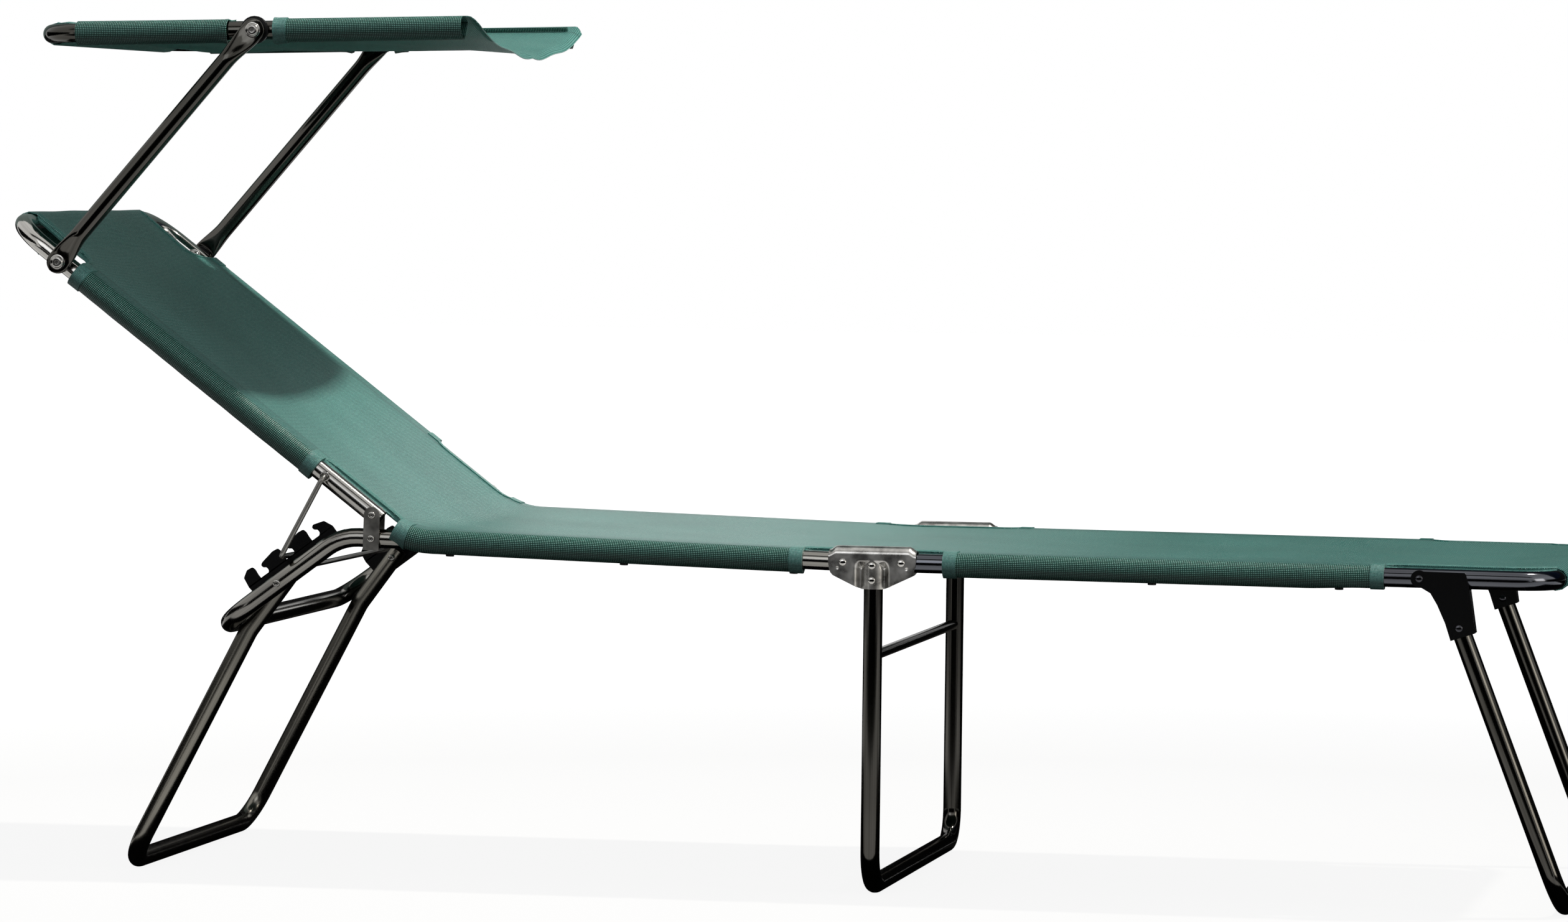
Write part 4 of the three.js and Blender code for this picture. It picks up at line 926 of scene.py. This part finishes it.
def sling_at(along, across):
    """A point on the sling's sheet at a distance to the side of its middle."""
    line, up = sling_line(along)
    open_part = max(0.0, 1 - (across / (CUT + 0.004)) ** 2)
    ripple = 0.0005 * math.sin(along * 23 + across * 14) * math.sin(across * 31 + along * 11)
    sink = (sling_sag(along) - ripple) * open_part
    return line - up * sink + Vector((0, across, 0)), (across, along)


def sling_sleeve_at(along, wrapped, side):
    """A point on a sling sleeve at a distance round its rail."""
    line, up = sling_line(along)
    out, rise = on_sleeve(sling_outline, wrapped)
    pucker = 0.0004 * math.sin(along * 170 + side) + 0.0005 * math.sin(along * 61 + wrapped * 90)
    lift = pucker * math.sin(math.pi * wrapped / WRAP) * math.copysign(1, out)
    tight = eased(along, foot_sleeve[1] - 0.090, foot_sleeve[1] - 0.020)
    rise = max(rise, -0.0122) * tight + rise * (1 - tight)
    place = line + up * (rise - HUG) + Vector((0, side * (HALF + out + lift), 0))
    return place, (side * (HALF + wrapped), along)


def sling_spot(along, column):
    """A point on the sling, for a column from -1 to 1 on the sheet and past that on a sleeve."""
    if abs(column) <= 1:
        return sling_at(along, sling_edge(along) * column)
    return sling_sleeve_at(along, (abs(column) - 1) * WRAP, math.copysign(1, column))


def outside_sleeves(along, column):
    """Where the sleeves are cut away."""
    return abs(column) > 1 and not any(low < along < high for low, high in sling_sleeves)


sheet_columns = [i / 22 for i in range(-22, 23)]
sleeve_columns = [1 + (i + 1) / 26 for i in range(26)]
all_columns = [-c for c in reversed(sleeve_columns)] + sheet_columns + sleeve_columns
# rows close together where a cut-out rounds
ease = (0.0006, 0.002, 0.0045, 0.008, 0.013, CUT_ROUND)
sling_marks = sorted({-hem_out, 0.0, foot_bar, foot_bar + hem_out, soft_start, soft_end, head_end,
                      middle_end, *(low - e for low, _ in sling_sleeves for e in (0, *ease)),
                      *(high + e for _, high in sling_sleeves for e in (0, *ease))})
first_seam = head_sleeve[0] + 0.24
second_seam = (head_end + middle_end) / 2
# the threads, typically 1.2 mm apart, are drawn 2.1 mm apart so that the render shows them
# the sleeve's three colours are painted darker as shade, and the lightest colour of each ramp is a painted
# highlight
sling_cloth = woven("teal_vinyl_mesh", 0.0021, "#1d4843", "#46877f", "#8fc4bc", "#04231d", "#1c6353",
                    "#7cc8ba", HALF - SEAM)
# each part's ends along the line, the bodies it joins, and where it starts and stops to bend
back_part = (-hem_out, first_seam, ("backrest", "seat_head"), (-0.630, 0, 0.455), (-0.545, 0, 0.425))
head_part = (first_seam, second_seam, ("seat_head", "mid_leg"), (-0.060, 0, 0.39), (-0.006, 0, 0.39))
foot_part = (second_seam, foot_bar + hem_out, ("mid_leg", "seat_foot"), (0.006, 0, 0.39), (0.060, 0, 0.39))


def sling_part(name, part, node):
    low, high, bodies, start, end = part
    marks = [low, *(m for m in sling_marks if low < m < high), high]
    made = cloth_grid(name, steps(marks, 0.009), all_columns, sling_spot, outside_sleeves)
    thicken(made, CLOTH)
    made.data.materials.append(sling_cloth)
    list(bodies)
    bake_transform(made)
    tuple(start)
    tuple(end)
    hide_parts(node)
    return made


back_sling = sling_part("sling_backrest", back_part, "backrest_fabric")
head_sling = sling_part("sling_head", head_part, "seat_head_fabric")
foot_sling = sling_part("sling_foot", foot_part, "seat_foot_fabric")


def flat_area(low, high, sleeves, line_edge):
    """Flat area of a cloth between two lengths, sleeves and hems included."""
    total, count = 0.0, 200
    for i in range(count):
        along = low + (high - low) * (i + 0.5) / count
        wide = 2 * line_edge(along)
        if any(a < along < b for a, b in sleeves):
            wide += 2 * WRAP
        total += wide * (high - low) / count
    return total


# Canopy cloth: the same mesh, with a sleeve on the rear bar and two on each side tube, cut away
# round the bolts. Its front edge hangs free between the ends of the tube, so it sags there.
CANOPY_END = 0.522      # from the rear bar to the free edge
CANOPY_HALF = 0.284     # half width of the part that sags
FRONT = 0.30            # from here to the free edge it sags a little more
LAP = 0.012             # the free edge's last strip, which turns down
SINK, FRONT_SINK = 0.030, 0.008     # depth of the sag, and what the front part adds
rear_sleeve = (CANOPY_BACK - 0.217, CANOPY_BACK - 0.034)
front_sleeve = (CANOPY_BACK + 0.022, CANOPY_BACK + 0.246)
canopy_sleeves = (rear_sleeve, front_sleeve)
canopy_outline = sleeve_line(droop=0.0140)
CANOPY_WRAP = canopy_outline[1][-1]


def canopy_line(along):
    """Where the tight sheet lies along the canopy and over its tubes, in the canopy's own lengths."""
    if along < 0:
        turn = min(-along / HUG, WOUND)
        more = -along - turn * HUG
        return (-CANOPY_BACK - HUG * math.sin(turn) - more * math.cos(turn),
                HUG * math.cos(turn) - more * math.sin(turn))
    return along - CANOPY_BACK, HUG


def canopy_edge(along):
    """Half width of the canopy: narrow on the rear bar, and drawn in a little at the free edge."""
    if along < 0:
        return CUT - BAR_CUT
    if along > front_sleeve[1]:
        past = (along - front_sleeve[1]) / (CANOPY_END - front_sleeve[1])
        return HALF - 0.016 * past**2
    return cut_edge(along, canopy_sleeves, (0,))


def canopy_at(along, across):
    """A point on the canopy's sheet: tight at the rear bar, sagging more towards the free edge."""
    x, z = canopy_line(along)
    if along <= 0:
        return canopy @ Vector((x, across, z)), (across, along)
    # the sag is full 150 mm from the bar, and the gathers along the bar die away over 80 mm
    hang = max(0.0, 1 - (across / CANOPY_HALF) ** 2)
    front = max(0, (along - FRONT) / (CANOPY_END - FRONT))
    sink = SINK * (1 - (1 - min(1, along / 0.15)) ** 2) + FRONT_SINK * front**2
    pleats = 0.0032 * math.sin(across * 120) * math.exp(-along / 0.08) * min(1, along / 0.02)
    drawn = 0.0020 * math.sin(along * 30 + abs(across) * 40) * hang
    lap = 0.006 * max(0, (along - CANOPY_END + LAP) / LAP) ** 2
    height = z - sink * hang**0.8 + pleats + drawn * min(1, along / 0.05) - lap
    return canopy @ Vector((x, across, height)), (across, along)


def canopy_sleeve_at(along, wrapped, side):
    """A point on a canopy sleeve at a distance round its tube. By the bolts its ends are gathered."""
    out, rise = on_sleeve(canopy_outline, wrapped)
    pucker = 0.0005 * math.sin(along * 140 + side * 2) * math.sin(math.pi * wrapped / CANOPY_WRAP)
    x, _ = canopy_line(along)
    near = max(0.0, 1 - min(abs(along - rear_sleeve[1]), abs(along - front_sleeve[0])) / 0.014)
    frill = 1 + 0.20 * near**2 * min(1, wrapped / 0.012) * (0.75 + 0.35 * math.sin(wrapped * 430))
    out, rise = out * frill, rise * frill
    place = canopy @ Vector((x, side * (HALF + out + math.copysign(pucker, out)), rise))
    return place, (side * (HALF + wrapped), along)


def canopy_spot(along, column):
    """A point on the canopy's cloth, for a column as on the sling."""
    if abs(column) <= 1:
        return canopy_at(along, canopy_edge(along) * column)
    return canopy_sleeve_at(along, (abs(column) - 1) * CANOPY_WRAP, math.copysign(1, column))


def outside_canopy_sleeves(along, column):
    """Where the canopy's sleeves are cut away."""
    return abs(column) > 1 and not any(low < along < high for low, high in canopy_sleeves)


canopy_marks = sorted({-hem_out, 0.0, CANOPY_END, CANOPY_END - LAP,
                       *(low - e for low, _ in canopy_sleeves for e in (0, *ease)),
                       *(high + e for _, high in canopy_sleeves for e in (0, *ease[:4]))})
canopy_marks = [m for m in canopy_marks if m <= CANOPY_END]
canopy_cloth = cloth_grid("canopy_cloth", steps(canopy_marks, 0.008), all_columns, canopy_spot,
                          outside_canopy_sleeves)
thicken(canopy_cloth, CLOTH)
canopy_cloth.data.materials.append(sling_cloth)
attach(canopy_cloth, "canopy")
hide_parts("canopy_fabric")

# Binding tape: a woven band folded over every cut edge of the cloths and round the ends of their
# sleeves, and stitched through. It is paler and closer woven than the mesh.
TAPE = 0.0145           # width of the band on one side of an edge
TAPE_THICK = 0.0036     # over both its sides and the cloth between
LIP = 0.0065            # how far its outer edge hangs down
# a close weave, typically 0.6 mm, drawn at 1.3 mm to show: paler than the mesh and without its gaps
tape_cloth = woven("teal_binding_tape", 0.0013, "#477f78", "#548d85", "#659e96", "#477f78", "#548d85",
                   "#659e96", 1.0)


def bound(name, sleeves, bars, low, high, edge, sheet_at, sleeve_at, wrap, plain=()):
    """All the tape on one cloth between two lengths along it, as one piece. A plain end has none.

    A ring goes round each end of a sleeve and 20 mm onto the sheet, and a strip along each cut edge,
    0.8 mm proud of it."""
    strips = []
    ends = sorted([*bars, *(end for pair in sleeves for end in pair)])
    for side in (-1, 1):
        for pair in sleeves:
            for end, inward in zip(pair, (1, -1)):
                if low < end < high and end not in plain:
                    rows = sorted((end - inward * 0.0007, end + inward * TAPE))

                    def ring_spot(along, q, side=side):
                        if q >= 0:
                            return sleeve_at(along, q * wrap, side)
                        return sheet_at(along, side * (HALF + q * 0.04))

                    columns = [-0.5, -0.25] + [i / 24 for i in range(25)]
                    strips.append(cloth_grid("tape", steps(rows, 0.004), columns, ring_spot))
        for start, stop in zip(ends, ends[1:]):
            if any(a <= start and stop <= b for a, b in sleeves):
                continue
            first, last = max(start, low), min(stop, high)
            if first >= last:
                continue

            def edge_spot(along, q, side=side):
                place, flat = sheet_at(along, side * (edge(along) - TAPE * (1 - q) + 0.0008 * q))
                return place - Vector((0, 0, LIP * max(0, 2 * q - 1) ** 2)), flat

            marks = [first] + [m for m in sorted({start + e for e in ease} | {stop - e for e in ease})
                               if first < m < last] + [last]
            strips.append(cloth_grid("tape", steps(marks, 0.007), [0, 0.25, 0.5, 0.75, 1], edge_spot))
    bpy.ops.object.select_all(action="DESELECT")
    for strip in strips:
        strip.select_set(True)
    bpy.context.view_layer.objects.active = strips[0]
    bpy.ops.object.join()
    made = bpy.context.object
    made.name = made.data.name = name
    thicken(made, TAPE_THICK)
    made.data.materials.append(tape_cloth)
    return made


tapes = []
for name, (low, high, bodies, start, end) in (
        ("tape_backrest", back_part), ("tape_head", head_part), ("tape_foot", foot_part)):
    tape = bound(name, sling_sleeves, (0, foot_bar), max(low, 0.0), min(high, foot_bar), sling_edge,
                 sling_at, sling_sleeve_at, WRAP)
    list(bodies)
    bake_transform(tape)
    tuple(start)
    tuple(end)
    tapes.append(tape)
canopy_tape = bound("tape_canopy", canopy_sleeves, (0,), 0.0, CANOPY_END, canopy_edge, canopy_at,
                    canopy_sleeve_at, CANOPY_WRAP, plain=(*rear_sleeve, front_sleeve[1]))
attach(canopy_tape, "canopy")

# the flat sizes of the cloths, with what each is stretched on, are computed here and not kept
for made, tape, (low, high, *_), rests in (
        (back_sling, tapes[0], back_part, ["backrest_frame_tube", "head_frame_tube"]),
        (head_sling, tapes[1], head_part, ["head_frame_tube"]),
        (foot_sling, tapes[2], foot_part, ["foot_frame_tube"])):
    flat_area(low, high, sling_sleeves, sling_edge)
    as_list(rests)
flat_area(-hem_out, CANOPY_END, canopy_sleeves, canopy_edge)

# Stage: a pale floor in a white surround, with the soft light of a studio. One lamp stands high over
# the foot end, so the canopy shades the backrest, and one beside it and one in front fill in. The
# cards round the set are mirrored in the chrome and in the cloth's gloss, and are seen nowhere else.
bpy.ops.object.select_all(action="DESELECT")
bpy.ops.mesh.primitive_plane_add(size=40, location=(0, 6, 0))
floor = bpy.context.object
floor.name = "floor"
bpy.ops.object.transform_apply(location=True)
# matt paper: to the camera and in reflections it nears white, and it keeps the lounger's shadow
paper, tree = bare("white_paper")
sight = add(tree, "ShaderNodeLightPath")
seen = add(tree, "ShaderNodeMath", {0: sight.outputs["Is Camera Ray"], 1: sight.outputs["Is Glossy Ray"]},
           operation="MAXIMUM")
lit = add(tree, "ShaderNodeBsdfDiffuse", {"Color": from_hex("#7d7d7b")})
glow = add(tree, "ShaderNodeEmission", {"Color": (1, 1, 1, 1), "Strength": 1.8})
spot = add(tree, "ShaderNodeTexCoord")
off = add(tree, "ShaderNodeVectorMath", {0: spot.outputs["Object"]}, operation="LENGTH")
open_floor = add(tree, "ShaderNodeMapRange", {"Value": off.outputs["Value"], "From Min": 1.6,
                                              "From Max": 4.5, "To Min": 0.5, "To Max": 0.62})
share = add(tree, "ShaderNodeMath", {0: seen.outputs["Value"], 1: open_floor.outputs["Result"]},
            operation="MULTIPLY")
both = add(tree, "ShaderNodeMixShader", {"Fac": share.outputs["Value"], 1: lit.outputs["BSDF"],
                                         2: glow.outputs["Emission"]})
add(tree, "ShaderNodeOutputMaterial", {"Surface": both.outputs["Shader"]})
floor.data.materials.append(paper)
floor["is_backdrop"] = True

# felt swallows the light, so the chrome gets its dark streaks
felt, tree = bare("black_felt")
dark = add(tree, "ShaderNodeBsdfDiffuse", {"Color": from_hex("#1a1a1a")})
add(tree, "ShaderNodeOutputMaterial", {"Surface": dark.outputs["BSDF"]})

# this card turns from white behind the head half to black behind the foot half
graded, tree = bare("graded_card")
spot = add(tree, "ShaderNodeTexCoord")
parts = add(tree, "ShaderNodeSeparateXYZ", {"Vector": spot.outputs["Object"]})
run = add(tree, "ShaderNodeMapRange", {"Value": parts.outputs["X"], "From Min": -1, "From Max": 1})
shade = add(tree, "ShaderNodeValToRGB", {"Fac": run.outputs["Result"]})
marks = shade.color_ramp.elements
card_black, card_white = from_hex("#1a1a1a"), (1, 1, 1, 1)
marks[0].position, marks[0].color = 0.12, card_black
marks[1].position, marks[1].color = 0.18, card_white
for place, colour in ((0.34, card_white), (0.48, (0.40, 0.40, 0.40, 1)), (0.60, card_black)):
    marks.new(place).color = colour
glow = add(tree, "ShaderNodeEmission", {"Color": shade.outputs["Color"], "Strength": 1.2})
add(tree, "ShaderNodeOutputMaterial", {"Surface": glow.outputs["Emission"]})

# this one is a sky, pale behind the head half and deep blue behind the foot half
sky, tree = bare("sky_card")
spot = add(tree, "ShaderNodeTexCoord")
parts = add(tree, "ShaderNodeSeparateXYZ", {"Vector": spot.outputs["Object"]})
run = add(tree, "ShaderNodeMapRange", {"Value": parts.outputs["X"], "From Min": -1.2, "From Max": 1.0})
shade = add(tree, "ShaderNodeMixRGB", {"Fac": run.outputs["Result"], "Color1": from_hex("#76837f"),
                                       "Color2": from_hex("#1c2537")})
glow = add(tree, "ShaderNodeEmission", {"Color": shade.outputs["Color"], "Strength": 1})
add(tree, "ShaderNodeOutputMaterial", {"Surface": glow.outputs["Emission"]})

lying, facing, beside = (0, 0, 0), (math.pi / 2, 0, 0), (math.pi / 2, 0, math.pi / 2)
for name, place, turn, wide, tall in (
        ("flat_card", (0, 0.25, 0.001), lying, 3.0, 1.3), ("near_card", (0.3, -3.0, 0.001), lying, 7, 3.0),
        ("front_card", (0.3, -4.5, 0.75), facing, 7, 1.5),
        ("left_card", (-4.2, -1.5, 0.75), beside, 6, 1.5),
        ("right_card", (4.6, -1.5, 0.75), beside, 6, 1.5), ("high_card", (0, -2.2, 3.0), lying, 6, 0.9),
        ("back_card", (0.5, 0.8, 1.75), facing, 6, 1.8), ("low_card", (0.5, 0.8, 0.175), facing, 6, 0.34),
        ("graded_card", (0.5, 0.8, 0.6), facing, 6, 0.5)):
    bpy.ops.object.select_all(action="DESELECT")
    bpy.ops.mesh.primitive_plane_add(size=1, location=place, rotation=turn)
    card = bpy.context.object
    card.name = name
    card.scale = (wide, tall, 1)
    bpy.ops.object.transform_apply(location=True, rotation=True, scale=True)
    card.data.materials.append({"graded_card": graded, "back_card": sky}.get(name, felt))
    card.visible_camera = card.visible_diffuse = card.visible_shadow = card.visible_transmission = False
    card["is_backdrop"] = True

world = bpy.data.worlds.new("studio")
bpy.context.scene.world = world
world.use_nodes = True
tree = world.node_tree
tree.nodes.clear()
sight = add(tree, "ShaderNodeLightPath")
seen = add(tree, "ShaderNodeMath", {0: sight.outputs["Is Camera Ray"], 1: sight.outputs["Is Glossy Ray"]},
           operation="MAXIMUM")
seen_too = add(tree, "ShaderNodeMath", {0: seen.outputs["Value"], 1: sight.outputs["Is Transmission Ray"]},
               operation="MAXIMUM")
room = add(tree, "ShaderNodeBackground", {"Color": from_hex("#f4f6f8"), "Strength": 0.27})
white = add(tree, "ShaderNodeBackground", {"Color": (1, 1, 1, 1), "Strength": 1})
both = add(tree, "ShaderNodeMixShader", {"Fac": seen_too.outputs["Value"], 1: room.outputs["Background"],
                                         2: white.outputs["Background"]})
add(tree, "ShaderNodeOutputWorld", {"Surface": both.outputs["Shader"]})


def lamp(name, place, aim, size, power, colour):
    """A square soft lamp that looks at a point."""
    aimed = Vector(aim) - Vector(place)
    turn = aimed.to_track_quat("-Z", "Y").to_euler()
    bpy.ops.object.light_add(type="AREA", location=place, rotation=turn)
    made = bpy.context.object
    made.name = name
    made.data.size = size
    made.data.energy = power
    made.data.color = from_hex(colour)[:3]
    return made


key_lamp = lamp("key_lamp", (2.0, 0.7, 4.7), (-0.8, 0, 0.5), 0.22, 24, "#fffaf2")
key_lamp.data.spread = math.radians(60)   # a grid on the lamp: the foot end gets less light
lamp("side_lamp", (2.8, -1.3, 1.0), (-0.8, 0, 0.7), 1.0, 16, "#fffaf2")
lamp("fill_lamp", (-1.2, -4.5, 2.4), (0, 0, 0.4), 2.5, 30, "#f4f8ff")

# Camera: a long lens a little above the seat, at the place worked out from the photograph's frame.
# It turns slightly towards the head end and leans a fraction, as the photograph does.
pitch, yaw, roll = 0.0430009, 0.187337, 0.0124278
camera_place = (1.37840, -8.12270, 0.84235)
forward = Vector((-math.sin(yaw) * math.cos(pitch), math.cos(yaw) * math.cos(pitch), -math.sin(pitch)))
level = Vector((math.cos(yaw), math.sin(yaw), 0))
upright = level.cross(forward)
across = level * math.cos(roll) + upright * math.sin(roll)
above = upright * math.cos(roll) - level * math.sin(roll)
bpy.ops.object.camera_add()
camera = bpy.context.object
camera.matrix_world = Matrix.Translation(camera_place) @ Matrix(
    (across, above, -forward)).transposed().to_4x4()
camera.data.lens = 159.22
camera.data.sensor_width = 36
camera.data.clip_end = 100
bpy.context.scene.camera = camera
bpy.context.scene.view_settings.view_transform = "Standard"

# the box round the visual model, computed here and not kept
low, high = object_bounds()
list(low)
list(high)
